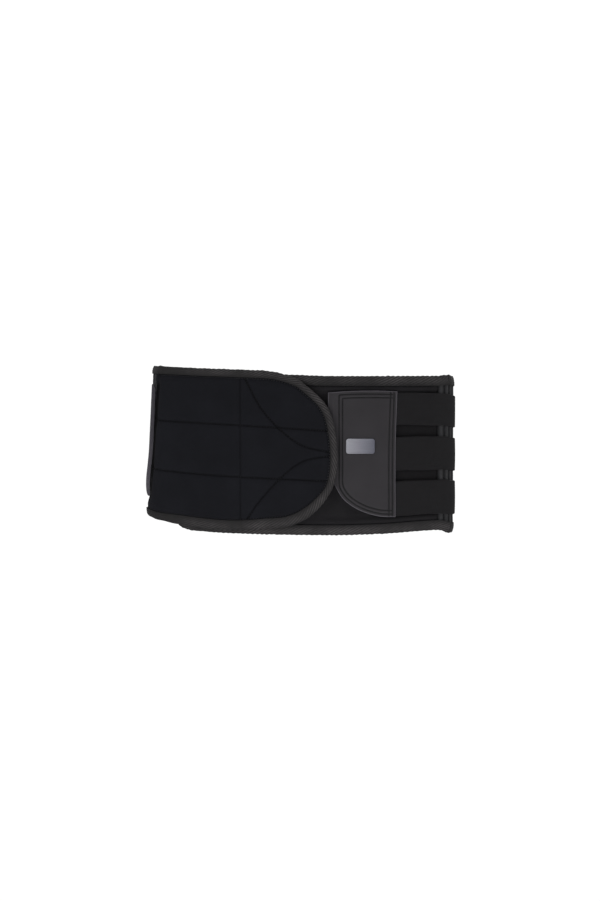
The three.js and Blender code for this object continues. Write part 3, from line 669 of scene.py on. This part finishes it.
# painted shade for the grooves of the tab's sewn rows, and the cut edge's tone, partly its own colour and
# partly painted highlight
GROOVE_PAINTED_SHADE, CUT_EDGE_AND_HIGHLIGHT_TONE = tone(11, 11, 13), tone(94, 91, 98)
RUBBER = rubber_material()
# painted light at the plate's left end, painted shade at its right
PLATE_PAINTED_LIGHT_LEFT, PLATE_PAINTED_SHADE_RIGHT = tone(156, 156, 164), tone(96, 97, 109)
PLATE = plate_material()
DARK_THREAD = thread_material("dark_thread", tone(15, 15, 18))
GREY_THREAD = thread_material("grey_thread", tone(62, 61, 63))


def place(obj, slot, *nodes):
    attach(obj, "root")
    if nodes:
        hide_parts(*nodes)


# Panels

EDGE_INSET = TAPE_THICKNESS + CLEARANCE


def quilted(hold):
    """Padding held down at a seam or a tape: it dips beside it and swells again further off."""
    hold = np.maximum(hold, 0)
    return PADDING * (1 - np.exp(-hold / PADDING_REACH)) - PINCH_DEPTH * np.exp(-hold / PINCH_REACH)


def seam_dip(distance):
    return SEAM_DEPTH * hump(distance, 2.0)


def scaled_rows(rows, start=0):
    return [((start + a) * HALF_LOOP, h * BELT_HEIGHT) for a, h in rows]


def steps(start, end, step):
    return np.linspace(start, end, max(2, round(abs(end - start) / step) + 1))


def edge_run(start, end, edge, step=2.5):
    """Line along the strip's top or bottom edge."""
    s = steps(start, end, step)
    return np.stack([s, edge(s)], -1)


def ended_panel(top_line, end_line, foot_line, columns, rows):
    """Edge line and patch sides of a panel with a free end; the top's and foot's lines start at that end."""
    top, foot, end = evenly(top_line, columns), evenly(foot_line, columns), evenly(end_line, rows)
    line = np.concatenate([top[::-1], end[1:-1], foot])
    inset = moved(line, EDGE_INSET)
    inset_top, inset_foot = inset[:columns][::-1], inset[-columns:]
    free = inset[columns - 1 : 1 - columns][::-1]
    sewn = evenly(np.stack([inset_foot[-1], inset_top[-1]]), rows)
    return line, (inset_top, inset_foot, free, sewn)


def right_lines(sewn_s):
    """Top, end and foot lines of the right panel up to a place along the strip."""
    rows = scaled_rows(RIGHT_END)
    top_corner, foot_corner = RIGHT_CORNERS
    top_run = edge_run(rows[0][0], sewn_s, strip_top)[1:]
    foot_run = edge_run(rows[-1][0], sewn_s, strip_bottom)[1:]
    top = np.concatenate([smooth_line(rows, 2, 0, top_corner)[::-1], top_run])
    foot = np.concatenate([smooth_line(rows, 2, foot_corner), foot_run])
    return top, smooth_line(rows, 2, top_corner, foot_corner), foot


def right_panel():
    line, sides = ended_panel(*right_lines(at["right_seam"] + SEAM_LAP), *RIGHT_GRID)
    s, z = patch(*sides)
    fold = near_line(s, z, resample(line, 1))
    hold = fold - RIGHT_TAPE_WIDTH
    sewn = at["right_seam"] - s
    out = quilted(hold) * ease(sewn, 0, 8) - seam_dip(sewn)
    out = out + 0.12 * waves(s, z, 60, 3) * ease(hold, 0, 12)
    # the flap lies on the hidden end, and the tab and bands press the rest in
    tab_end = at["tab_edge"] - TAB_LENGTH
    out = np.where(s < tab_end - 30, np.minimum(out, 0.1), out)
    pressed = ease(s, tab_end - 22, tab_end + 4) * ease(hold, 3, 10)
    out = out * (1 - pressed) - BAND_PRESS * pressed
    # painted shade: besides the dark seam line, the seam value darkens the pressed cloth between the bands
    # towards the tab's edge
    seam = np.maximum(0.7 * hump(sewn, 1), 0.4 * pressed * ease(s, at["tab_edge"] - 20, at["tab_edge"]))
    edge = fold, RIGHT_TAPE_WIDTH
    panel = slab("right_panel_cloth", s, z, -PANEL_THICKNESS, out, PANEL_CLOTH, {"seam": seam}, edge)
    place(panel, "padded_cloth", "right_panel")


def flap_tape_width(s, z):
    """Wider along the foot, and narrower round the free end."""
    foot = ease(60 - z, 0, 40) * ease(s, at["left_seam_top"], at["left_seam_top"] + 40)
    end = ease(s, at["front_again"] - 50, at["front_again"] + 20) * (1 - foot)
    return FLAP_TAPE_WIDTH + 2.5 * foot - 1.4 * end


def flap_lines():
    """Edge line of the flap from the left seam's top round the free end to its foot, and its patch sides."""
    rows = [(-a, h) for a, h in scaled_rows(FLAP_OUTLINE, start=2)]
    top_corner, foot_corner = FLAP_CORNERS
    top, foot = smooth_line(rows, 2, 0, top_corner)[::-1], smooth_line(rows, 2, foot_corner)
    line, sides = ended_panel(top, smooth_line(rows, 2, top_corner, foot_corner), foot, *FLAP_GRID)
    return line[::-1] * (-1, 1), [side * (-1, 1) for side in sides]


def flap_seam_lines():
    return {name: smooth_line(scaled_rows(rows, start=2), 0.8) for name, rows in FLAP_SEAMS.items()}


def flap_relief(s, z, hold, seams):
    """Outer face of the flap and the darkness of its seams."""
    gaps = {name: near_line(s, z, line) for name, line in seams.items()}
    nearest = np.min(list(gaps.values()), axis=0)
    swell = 0.4 + 0.6 * (1 - np.exp(-nearest / 9))
    out = quilted(hold) * swell + 0.15 * waves(s, z, 55, 11) * ease(hold, 0, 12)
    dark = np.zeros_like(s)
    for name, gap in gaps.items():
        depth = 0.6 if name == "upright" else 1.0
        out = out - depth * (0.9 * hump(gap, 1.2) + 0.4 * np.exp(-gap / 3.5))
        dark = np.maximum(dark, depth * hump(gap, 0.95))
    pucker = 0.06 * np.sin(s / 1.1) * np.exp(-nearest / 3) * (nearest > 0.8)
    return out + pucker, np.clip(dark, 0, 0.9)


def flap(line, sides, seams):
    s, z = patch(*sides)
    fold = near_line(s, z, resample(line, 1))
    width = flap_tape_width(s, z)
    out, dark = flap_relief(s, z, fold - width, seams)
    # the sewn side rolls into the left fold, behind the tab, and the seam value paints shade on its cloth there
    roll_and_painted_shade = (1 - ease(s - left_seam(z), 4.5, 9.5)) * ease(BELT_HEIGHT - z, 16, 26) * ease(z, 30, 52)
    values = {"seam": np.maximum(dark, 0.95 * roll_and_painted_shade)}
    sunk = FLAP_ROLL * roll_and_painted_shade
    piece = slab("flap_cloth", s, z, -PANEL_THICKNESS - sunk, out - sunk, FLAP_CLOTH, values, (fold, width))
    place(piece, "padded_cloth", "flap")


def back_tape_width(s, z):
    """As wide as the right panel's tape at the right fold, and as the flap's at the left one."""
    narrowing = ease(s, at["back_seam_right"], at["left_fold"])
    return RIGHT_TAPE_WIDTH + (FLAP_TAPE_WIDTH - RIGHT_TAPE_WIDTH) * narrowing


def between_edges(start, end_top, end_foot, columns, rows):
    """Grid of places between the strip's edges, and the distance from the nearer edge."""
    share = np.linspace(0, 1, rows)[None]
    top, foot = np.linspace(start, end_top, columns), np.linspace(start, end_foot, columns)
    top_z, foot_z = strip_top(top) - EDGE_INSET, strip_bottom(foot) + EDGE_INSET
    s = foot[:, None] + (top - foot)[:, None] * share
    z = foot_z[:, None] + (top_z - foot_z)[:, None] * share
    return s, z, np.minimum(z - foot_z[:, None], top_z[:, None] - z) + EDGE_INSET


def back_panel():
    start, end = at["back_seam_right"] - SEAM_LAP, at["back_seam_left"] + SEAM_LAP
    s, z, fold = between_edges(start, end, end, *BACK_GRID)
    width = back_tape_width(s, z)
    sewn = np.minimum(s - start, end - s)
    out = np.minimum(quilted(fold - width), 0.1) * ease(sewn, 0, 10) - seam_dip(sewn)
    seam = 0.7 * hump(sewn, 1)
    panel = slab("back_panel_cloth", s, z, -PANEL_THICKNESS, out, PANEL_CLOTH, {"seam": seam}, (fold, width))
    place(panel, "padded_cloth", "back_panel")


# Gussets with upright ribs round the folds


def gusset(node, start, end_top, end_foot, dip=None):
    s, z, fold = between_edges(start, end_top, end_foot, *GUSSET_GRID)
    share = np.linspace(0, 1, len(s))[:, None]
    phase = share * round((end_top - start) / RIB_PITCH) + 0.03 * waves(s, z, 70, 21)
    rib = np.abs(np.sin(math.pi * phase))
    dips = dip(s, z) if dip else np.zeros_like(s)
    out = 0.25 - RIB_RELIEF * (1 - rib**0.7) + 0.08 * waves(s, z, 12, 22) - dips
    # painted light on the rib crests, taken out as painted shade where the gusset dips in beside the tab
    rib_painted_light = rib**1.3 * np.clip(1 - dips / 2, 0, 1)
    edge = fold, back_tape_width(s, z)
    piece = slab(f"{node}_cloth", s, z, -PANEL_THICKNESS - dips, out, RIBBED, {"rib_painted_light": rib_painted_light}, edge)
    place(piece, "ribbed_stretch", node)


def left_seam(z):
    """Where the flap is sewn to the left gusset, at a height."""
    return at["left_seam_foot"] + (at["left_seam_top"] - at["left_seam_foot"]) * z / BELT_HEIGHT


def left_dip(s, z):
    """The left gusset is folded in between the tab's free end and the flap."""
    tab_end = at["left_tab_edge"] + TAB_LENGTH
    under_tab = DIP_UNDER_TAB * ease(s, at["left_fold"] - 32, at["left_fold"])
    beyond = DIP_BEYOND_TAB * ease(s, tab_end - 7, tab_end + 2)
    return (under_tab + beyond) * ease(BELT_HEIGHT - z, 22, 32) * ease(left_seam(z) - s, 0, 3)


# Edge tapes


def folded_section(width, cuts):
    """Corners across a folded tape, from its front edge round the fold to its back edge, on half an ellipse:
    their turn, side and out, and their distance along the section from the front edge."""
    front, back = np.linspace(0, math.pi / 2, cuts), np.linspace(math.pi / 2, math.pi, HIDDEN_CUTS)[1:]
    turn = np.concatenate([front, back])
    side = width * (1 - np.sin(turn))
    out = TAPE_MIDDLE + TAPE_HALF * np.cos(turn) + 0 * side
    step = np.hypot(np.diff(side, axis=1, prepend=side[:, :1]), np.diff(out, axis=1, prepend=out[:, :1]))
    return turn, side, out, np.cumsum(step, 1)


def twill_ridges(along, from_edge, seed):
    """Height of slanting twill ridges, from 0 to 1, and how strongly they show."""
    run, still = along + 0 * from_edge, 0 * from_edge
    wander = TWILL_WANDER * waves(run, still, 38, seed)
    ridge_and_painted_light = 0.5 + 0.5 * np.cos(2 * math.pi * (along - TWILL_SLANT * from_edge + wander) / TWILL_PITCH)
    return ridge_and_painted_light, np.clip(0.7 + 0.3 * waves(run, still, 40, seed + 1, 5), 0.15, 1.2)


def lifted(turn, side, out, width, lift):
    """Corners of the section moved off its half ellipse by a lift."""
    across_side = -np.sin(turn) / width
    across_out = np.cos(turn) / TAPE_HALF
    size = np.hypot(across_side, across_out)
    return side + lift * across_side / size, out + lift * across_out / size


def tape(node, line, width_at, cuts, seed, swell=None, twill=None):
    """Folded tape round a panel's edge: half an ellipse across, with slanting twill ridges."""
    width = width_at(*line.T)[:, None]
    along = lengths_of(line)[:, None]
    turn, side, out, arc = folded_section(width, cuts)
    from_edge = arc[:, cuts - 1 : cuts] - arc
    ridge_and_painted_light, strength = twill_ridges(along, from_edge, seed)
    if twill:
        strength = strength * twill(*line.T)[:, None]
    wrinkle = TAPE_WRINKLE * waves(along + 0 * side, from_edge, 15, seed + 2)
    lift = (TWILL_HEIGHT * (ridge_and_painted_light - 0.4) * strength + wrinkle) * ease(side, width, width * 0.75)
    if swell:
        lift = lift + swell(*line.T)[:, None]
    outer_side, outer_out = lifted(turn, side, out, width, lift)
    inner_turn = np.linspace(math.pi, 0, HIDDEN_CUTS)
    inner_side = width - (width - TAPE_THICKNESS) * np.sin(inner_turn)
    inner_out = TAPE_MIDDLE + (TAPE_HALF - TAPE_THICKNESS) * np.cos(inner_turn) + 0 * inner_side
    # painted light on the ridges against painted shade in the grooves; the painted light fades towards the fold
    # and towards both edges, front and hidden, as painted shade
    light = np.clip(0.06 + 0.94 * ridge_and_painted_light * strength, 0, 1) * ease(side, width * 1.15, width * 0.4)
    light = light * (1 - 0.35 * ease(side, width * 0.35, 0))
    section = np.concatenate([outer_side, inner_side], 1), np.concatenate([outer_out, inner_out], 1)
    values = {"ridge_and_painted_light": np.concatenate([light, np.zeros_like(inner_side)], 1)}
    piece = sweep(f"{node}_tape", line, section, TAPE, values, sharp=75)
    place(piece, "edge_tape", node)


def right_swell(s, z):
    """The tape of the right panel flares at its foot, at the right fold."""
    return hump(s - at["tape_joint"] + 2, 5) * (z < BELT_HEIGHT / 2)


def joint_swell(s, z):
    """The back tapes bulge where they start."""
    return 0.8 * hump(s - at["tape_joint"] - 4, 4)


def flap_swell(s, z):
    """The flap's tape bulges where it starts at the left fold."""
    return 0.8 * hump(s - at["left_seam_top"] - 4, 4) * (z > BELT_HEIGHT / 2)


def flap_twill(s, z):
    """The flap's twill ridges are lower at its left, and their painted light weaker there."""
    return 0.15 + 0.85 * ease(s, at["left_seam_top"] + 10, at["left_seam_top"] + 85)


def right_tape_width(s, z):
    return RIGHT_TAPE_WIDTH + 0 * s


# Elastic bands

PANEL_HEIGHT = float(strip_top(at["tab_edge"]) - strip_bottom(at["tab_edge"]))
CLEAR_HEIGHT = PANEL_HEIGHT - 2 * (RIGHT_TAPE_WIDTH + BAND_MARGIN)
BAND_PITCH = (CLEAR_HEIGHT - BAND_WIDTH) / 2
TAB_HEIGHT = 2 * BAND_PITCH + BAND_WIDTH + 2 * TAB_OVERHANG


def band_level(s, row):
    """Height of a band's middle; row 0 is the bottom band."""
    closing = BAND_CLOSING * ease(s, at["tab_edge"], at["right_seam"])
    raised = BAND_RAISE * (2 - row) * (1 - ease(s, at["tab_edge"], at["right_seam"]))
    return strip_middle(s) + (row - 1) * (BAND_PITCH - closing) + raised


def band_lift(s):
    reach = at["right_seam"] - at["tab_edge"]
    lift = ease(s, at["tab_edge"], at["right_seam"])
    return BAND_LIFT * lift * (1 - ease(s, at["back_seam_right"], at["back_seam_right"] + reach))


def band(node, start, end, row, seed):
    run = steps(start, end, 3)
    line = np.stack([run, band_level(run, row) + 0.25 * waves(run, 0 * run, 90, seed)], -1)
    share = np.linspace(-1, 1, 47)
    half = (BAND_WIDTH / 2 + BAND_SPREAD * (2 - row) + 0.2 * waves(run, 0 * run, 40, seed + 1))[:, None]
    side = half * share
    past = np.maximum(0, (np.abs(share) - (1 - BAND_ROUND)) / BAND_ROUND)
    rounded = np.sqrt(np.clip(1 - past**2, 0, 1))
    base = CLEARANCE + band_lift(run)[:, None]
    swell = 0.07 * np.cos(2 * math.pi * side / WEBBING_PITCH) + BAND_CROWN * (1 - share**2)
    swell = swell + 0.12 * waves(run[:, None] + 0 * side, side, 60, seed + 2)
    edge = BAND_THICKNESS / 4
    top = base + edge + (BAND_THICKNESS - edge + swell) * rounded
    under_side = half * np.linspace(1, -1, 9)
    section = np.concatenate([side, under_side], 1), np.concatenate([top, base + 0 * under_side], 1)
    piece = sweep(f"{node}_elastic", line, section, ELASTIC, sharp=60)
    place(piece, "elastic_band", node)


def band_box(row, end, inwards):
    """The crossed box sewn at the back end of a band."""
    near, far = end + inwards * 3, end + inwards * (3 + BOX_REACH)
    middle, rise = float(band_level(end, row)), BAND_WIDTH / 2 - BOX_INSET
    a, b, c, d = (near, middle - rise), (near, middle + rise), (far, middle + rise), (far, middle - rise)
    return [np.array(side, float) for side in ((a, b), (b, c), (c, d), (d, a), (a, c), (b, d))]


# Pull tabs


def tab_local(rows, step=0.5):
    return smooth_line([(reach * TAB_LENGTH, rise * TAB_HEIGHT) for reach, rise in rows], step)


def tab_row(inset):
    """A sewn row: from the band side along the top, down beside the free edge and back along the foot."""
    upper = tab_local(TAB_TOP)[::-1] - (0, inset)
    lower = moved(tab_local(TAB_FOOT), -inset)
    turn = TAB_LENGTH - inset - ROW_EXTRA
    upper = upper[(upper[:, 0] > ROW_INSETS[0]) & (upper[:, 0] < turn)]
    lower = lower[(upper[0, 0] < lower[:, 0]) & (lower[:, 0] < turn)]
    down = np.stack([(turn, upper[-1, 1]), (turn, lower[0, 1])])
    bend = softened(np.concatenate([resample(down, 0.5), lower]), 4)
    return softened(np.concatenate([upper, bend]), 1)


def tab_rows():
    edge = tab_local(TAB_BAND_EDGE)
    return [tab_row(inset) for inset in ROW_INSETS] + [edge + (inset, 0) for inset in ROW_INSETS]


def tab(node, edge_s, direction, grid, lift_at, underside_at, droop=0):
    """A moulded tab with sewn rows. direction is the way to its free edge, which may droop."""
    name = f"{node}_rubber"
    columns, rows = grid

    def on_wall(local):
        s = edge_s + direction * local[:, 0]
        fall = droop * ease(local[:, 0], *DROOP_REACH) * (1 + FOOT_SAG * ease(-local[:, 1], 0, 60))
        return np.stack([s, strip_middle(s) + local[:, 1] - fall], -1)

    tables = (TAB_TOP, columns), (TAB_FOOT, columns), (TAB_BAND_EDGE, rows), (TAB_FREE_EDGE, rows)
    top, foot, start, end = (evenly(on_wall(tab_local(table)), count) for table, count in tables)
    top, foot = top[::-1], foot[::-1]
    s, z = patch(top, foot, start, end)
    border = np.min([near_line(s, z, resample(side, 0.5)) for side in (top, foot, start, end)], axis=0)
    lines = [on_wall(row) for row in tab_rows()]
    # the groove value dips the face and paints shade in the sewn rows' grooves
    groove_and_painted_shade = np.max([hump(near_line(s, z, resample(line, 0.3)), 0.85) for line in lines], axis=0)
    bevel = 0.8 * np.clip(1 - border / 1.2, 0, 1) ** 2
    quilt = 0.3 * hump(np.minimum(border, 12) - 6, 1.6)
    face = CLEARANCE + TAB_THICKNESS - bevel - 0.55 * groove_and_painted_shade + quilt + 0.1 * waves(s, z, 45, 17)
    # the lighter cut edge round the tab's border is partly its own colour and partly painted highlight
    values = {"groove_and_painted_shade": groove_and_painted_shade, "cut_edge_and_highlight": np.clip(1.2 - border / 0.8, 0, 1)}
    lift = lift_at(s, z)
    piece = slab(name, s, z, CLEARANCE + lift + underside_at(s, z), face + lift, RUBBER, values, sharp=60)
    place(piece, "tab_rubber", node)

    def thread_height(s, z):
        return CLEARANCE + TAB_THICKNESS - 0.4 + lift_at(s, z)

    place(stitches(f"{name}_stitches", lines, thread_height, DARK_THREAD), "tab_rubber")


def nothing(s, z):
    return 0 * s


def left_tab_lift(s, z):
    """The left tab is pulled in round the fold at its top, and stands off at its foot."""
    past = ease(s, at["left_fold"] - 30, at["left_fold"] + 4)
    return past * (0.7 - 2.3 * ease(z, 55, 110))


def left_tab_underside(s, z):
    """The left tab is thicker at its free end, which the flap's side shows edge-on."""
    return -LEFT_TAB_EXTRA * ease(s, at["left_fold"] - 30, at["left_fold"] + 10)


# Badge: a plain plate with a raised rim


def badge_ring():
    """Corner centres and directions round the plate's outline."""
    corners = [(1, -1, -90), (1, 1, 0), (-1, 1, 90), (-1, -1, 180)]
    turns = [(x, y, math.radians(start + a)) for x, y, start in corners for a in np.linspace(0, 90, 9)]
    return np.array([(x, y, math.cos(turn), math.sin(turn)) for x, y, turn in turns])


def badge():
    ring = badge_ring()

    def loop(inset, out):
        radius = BADGE_CORNER - inset
        x = ring[:, 0] * (BADGE_LENGTH / 2 - BADGE_CORNER) + radius * ring[:, 2]
        y = ring[:, 1] * (BADGE_HEIGHT / 2 - BADGE_CORNER) + radius * ring[:, 3]
        return np.stack([x, y, np.full(len(x), out)], -1)

    loops = [loop(0, 0)] + [loop(inset, BADGE_THICKNESS - below) for inset, below in BADGE_PROFILE]
    flat = np.concatenate(loops)
    s = at["tab_edge"] - BADGE_REACH
    z = strip_middle(s) + BADGE_RISE
    points = wall(s + flat[:, 0], z + flat[:, 1], TAB_THICKNESS + 2 * CLEARANCE + flat[:, 2])
    count, rounds = len(ring), len(loops)
    faces = grid_faces(rounds, count, closed=True)
    faces += [list(range(count))[::-1], list(range(count * (rounds - 1), count * rounds))]
    # painted light along the plate, from its lit left end to its shaded right
    values = {"rightwards": flat[:, 0] / BADGE_LENGTH + 0.5}
    piece = new_object("badge_blank_plate", points, faces, values, material=PLATE, sharp=35)
    place(piece, "badge_plate", "badge")


# Assembly


def panels_and_gussets():
    right_panel()
    back_panel()
    right_start, right_end = at["right_seam"] - SEAM_LAP, at["back_seam_right"] + SEAM_LAP
    gusset("right_gusset", right_start, right_end, right_end)
    left_top, left_foot = at["left_seam_top"] + SEAM_LAP, at["left_seam_foot"] + LEFT_SEAM_LAP
    gusset("left_gusset", at["back_seam_left"] - SEAM_LAP, left_top, left_foot, left_dip)


def right_tape_line():
    top, end, foot = right_lines(at["tape_joint"])
    return resample(np.concatenate([top[::-1], end[1:-1], foot]), 0.8)


def tapes(flap_line):
    tape("right_binding", right_tape_line(), right_tape_width, TAPE_CUTS, 31, right_swell)
    around = resample(flap_line, 0.75)
    tape("flap_binding", around, flap_tape_width, TAPE_CUTS, 41, flap_swell, flap_twill)
    top = edge_run(at["left_seam_top"], at["tape_joint"], strip_top)
    foot = edge_run(at["tape_joint"], at["left_seam_foot"], strip_bottom)
    for node, run, seed in (("back_binding_top", top, 51), ("back_binding_bottom", foot, 61)):
        tape(node, resample(run, 1.2), back_tape_width, BACK_TAPE_CUTS, seed, joint_swell)


def bands():
    boxes = []
    for row, level in enumerate(("bottom", "middle", "top")):
        right_end, left_end = at["back"] - BACK_GAP / 2, at["back"] + BACK_GAP / 2
        band(f"right_band_{level}", at["tab_edge"] - TAB_POCKET, right_end, row, 70 + 5 * row)
        band(f"left_band_{level}", left_end, at["left_tab_edge"] + TAB_POCKET, row, 90 + 5 * row)
        boxes += band_box(row, right_end, -1) + band_box(row, left_end, 1)
    sewn = stitches("band_end_stitches", boxes, CLEARANCE + BAND_THICKNESS + 0.2, DARK_THREAD)
    place(sewn, "elastic_band")


def tape_stitches(name, line, width_at, out, material):
    """A sewn row beside a tape's inner edge."""
    row = line + across(line) * (width_at(*line.T) + STITCH_INSET)[:, None]
    sewn = stitches(name, [resample(row, 0.8)], out, material, length=1.8, gap=1.5, radius=0.26)
    place(sewn, "edge_tape")


def seam_stitches(seams):
    """Thread in the flap's sewn seams."""
    sewn = stitches("flap_seam_stitches", list(seams.values()), -0.75, DARK_THREAD)
    place(sewn, "padded_cloth")


flap_line, flap_sides = flap_lines()
seams = flap_seam_lines()
flap(flap_line, flap_sides, seams)
panels_and_gussets()
tapes(flap_line)
tape_stitches("flap_tape_stitches", flap_line, flap_tape_width, -0.1, GREY_THREAD)
tape_stitches("right_tape_stitches", right_tape_line(), right_tape_width, -0.1, DARK_THREAD)
seam_stitches(seams)
bands()
tab("right_tab", at["tab_edge"], -1, RIGHT_TAB_GRID, nothing, nothing)
tab("left_tab", at["left_tab_edge"], 1, LEFT_TAB_GRID, left_tab_lift, left_tab_underside, LEFT_TAB_DROOP)
badge()

# Stage: white floor and surroundings, and soft studio light

STAGE_RADIUS = 9
STAGE_GLOW = 1.05
FLOOR_DROP = 0.0005
SKY_LIGHT = 0.17
# Each light: where it stands, its width and height in metres, and its power in watts
LIGHTS = {
    "key_box": ((-1.6, -1.5, 1.0), (0.9, 0.9), 16),
    "fill_box": ((2.1, -0.5, 0.5), (0.9, 0.9), 15),
    "top_box": ((0, -0.1, 2.2), (2.4, 1.6), 23),
    "bounce_box": ((0, -0.8, -0.7), (2.0, 0.8), 11.5),
    "back_box": ((0, 2.0, 0.9), (1.6, 0.9), 14),
}
AIM_HEIGHT = 0.1
CAMERA_AZIMUTH_DEG = 8
CAMERA_ELEVATION_DEG = 2
CAMERA_DISTANCE = 1.6
CAMERA_LENS = 51.1


def stage_white():
    """Dome and floor that only the camera sees."""
    material = bpy.data.materials.new("stage_white")
    material.use_nodes = True
    nodes = material.node_tree.nodes
    nodes.clear()
    emission = nodes.new("ShaderNodeEmission")
    emission.inputs["Strength"].default_value = STAGE_GLOW
    output = nodes.new("ShaderNodeOutputMaterial")
    material.node_tree.links.new(emission.outputs[0], output.inputs["Surface"])
    bpy.ops.mesh.primitive_uv_sphere_add(radius=STAGE_RADIUS, segments=32, ring_count=16)
    dome = bpy.context.object
    bpy.ops.mesh.primitive_circle_add(radius=STAGE_RADIUS - 0.1, vertices=48, fill_type="NGON")
    floor = bpy.context.object
    floor.location.z = -FLOOR_DROP
    for obj, name in ((dome, "stage_dome"), (floor, "stage_floor")):
        obj.name = name
        obj.data.materials.append(material)
        obj.visible_diffuse = obj.visible_glossy = obj.visible_transmission = obj.visible_shadow = False


def softbox(name, stands_at, size, power):
    """A soft light aimed at the belt."""
    light = bpy.data.lights.new(name, "AREA")
    light.shape = "RECTANGLE"
    light.size, light.size_y = size
    light.energy = power
    obj = bpy.data.objects.new(name, light)
    bpy.context.scene.collection.objects.link(obj)
    obj.location = stands_at
    obj.rotation_euler = (Vector((0, 0, AIM_HEIGHT)) - Vector(stands_at)).to_track_quat("-Z", "Y").to_euler()
    obj.visible_camera = False


def studio():
    stage_white()
    world = bpy.data.worlds.new("soft_studio")
    bpy.context.scene.world = world
    world.use_nodes = True
    background = world.node_tree.nodes["Background"]
    background.inputs["Color"].default_value = (1, 1, 1, 1)
    background.inputs["Strength"].default_value = SKY_LIGHT
    for name, (stands_at, size, power) in LIGHTS.items():
        softbox(name, stands_at, size, power)


def photo_camera():
    """Camera at the photo's angle."""
    azimuth, elevation = math.radians(CAMERA_AZIMUTH_DEG), math.radians(CAMERA_ELEVATION_DEG)
    data = bpy.data.cameras.new("photo_camera")
    data.sensor_width = 36
    data.lens = CAMERA_LENS
    camera = bpy.data.objects.new("photo_camera", data)
    bpy.context.scene.collection.objects.link(camera)
    flat = math.cos(elevation)
    outwards_way = Vector((math.sin(azimuth) * flat, -math.cos(azimuth) * flat, math.sin(elevation)))
    aim = Vector((SHIFT[0] / 1000, SHIFT[1] / 1000, AIM_HEIGHT))
    camera.location = aim + outwards_way * CAMERA_DISTANCE
    camera.rotation_euler = (-outwards_way).to_track_quat("-Z", "Y").to_euler()
    bpy.context.scene.camera = camera


studio()
photo_camera()
bpy.context.scene.view_settings.view_transform = "Standard"
bpy.context.scene.view_settings.look = "None"
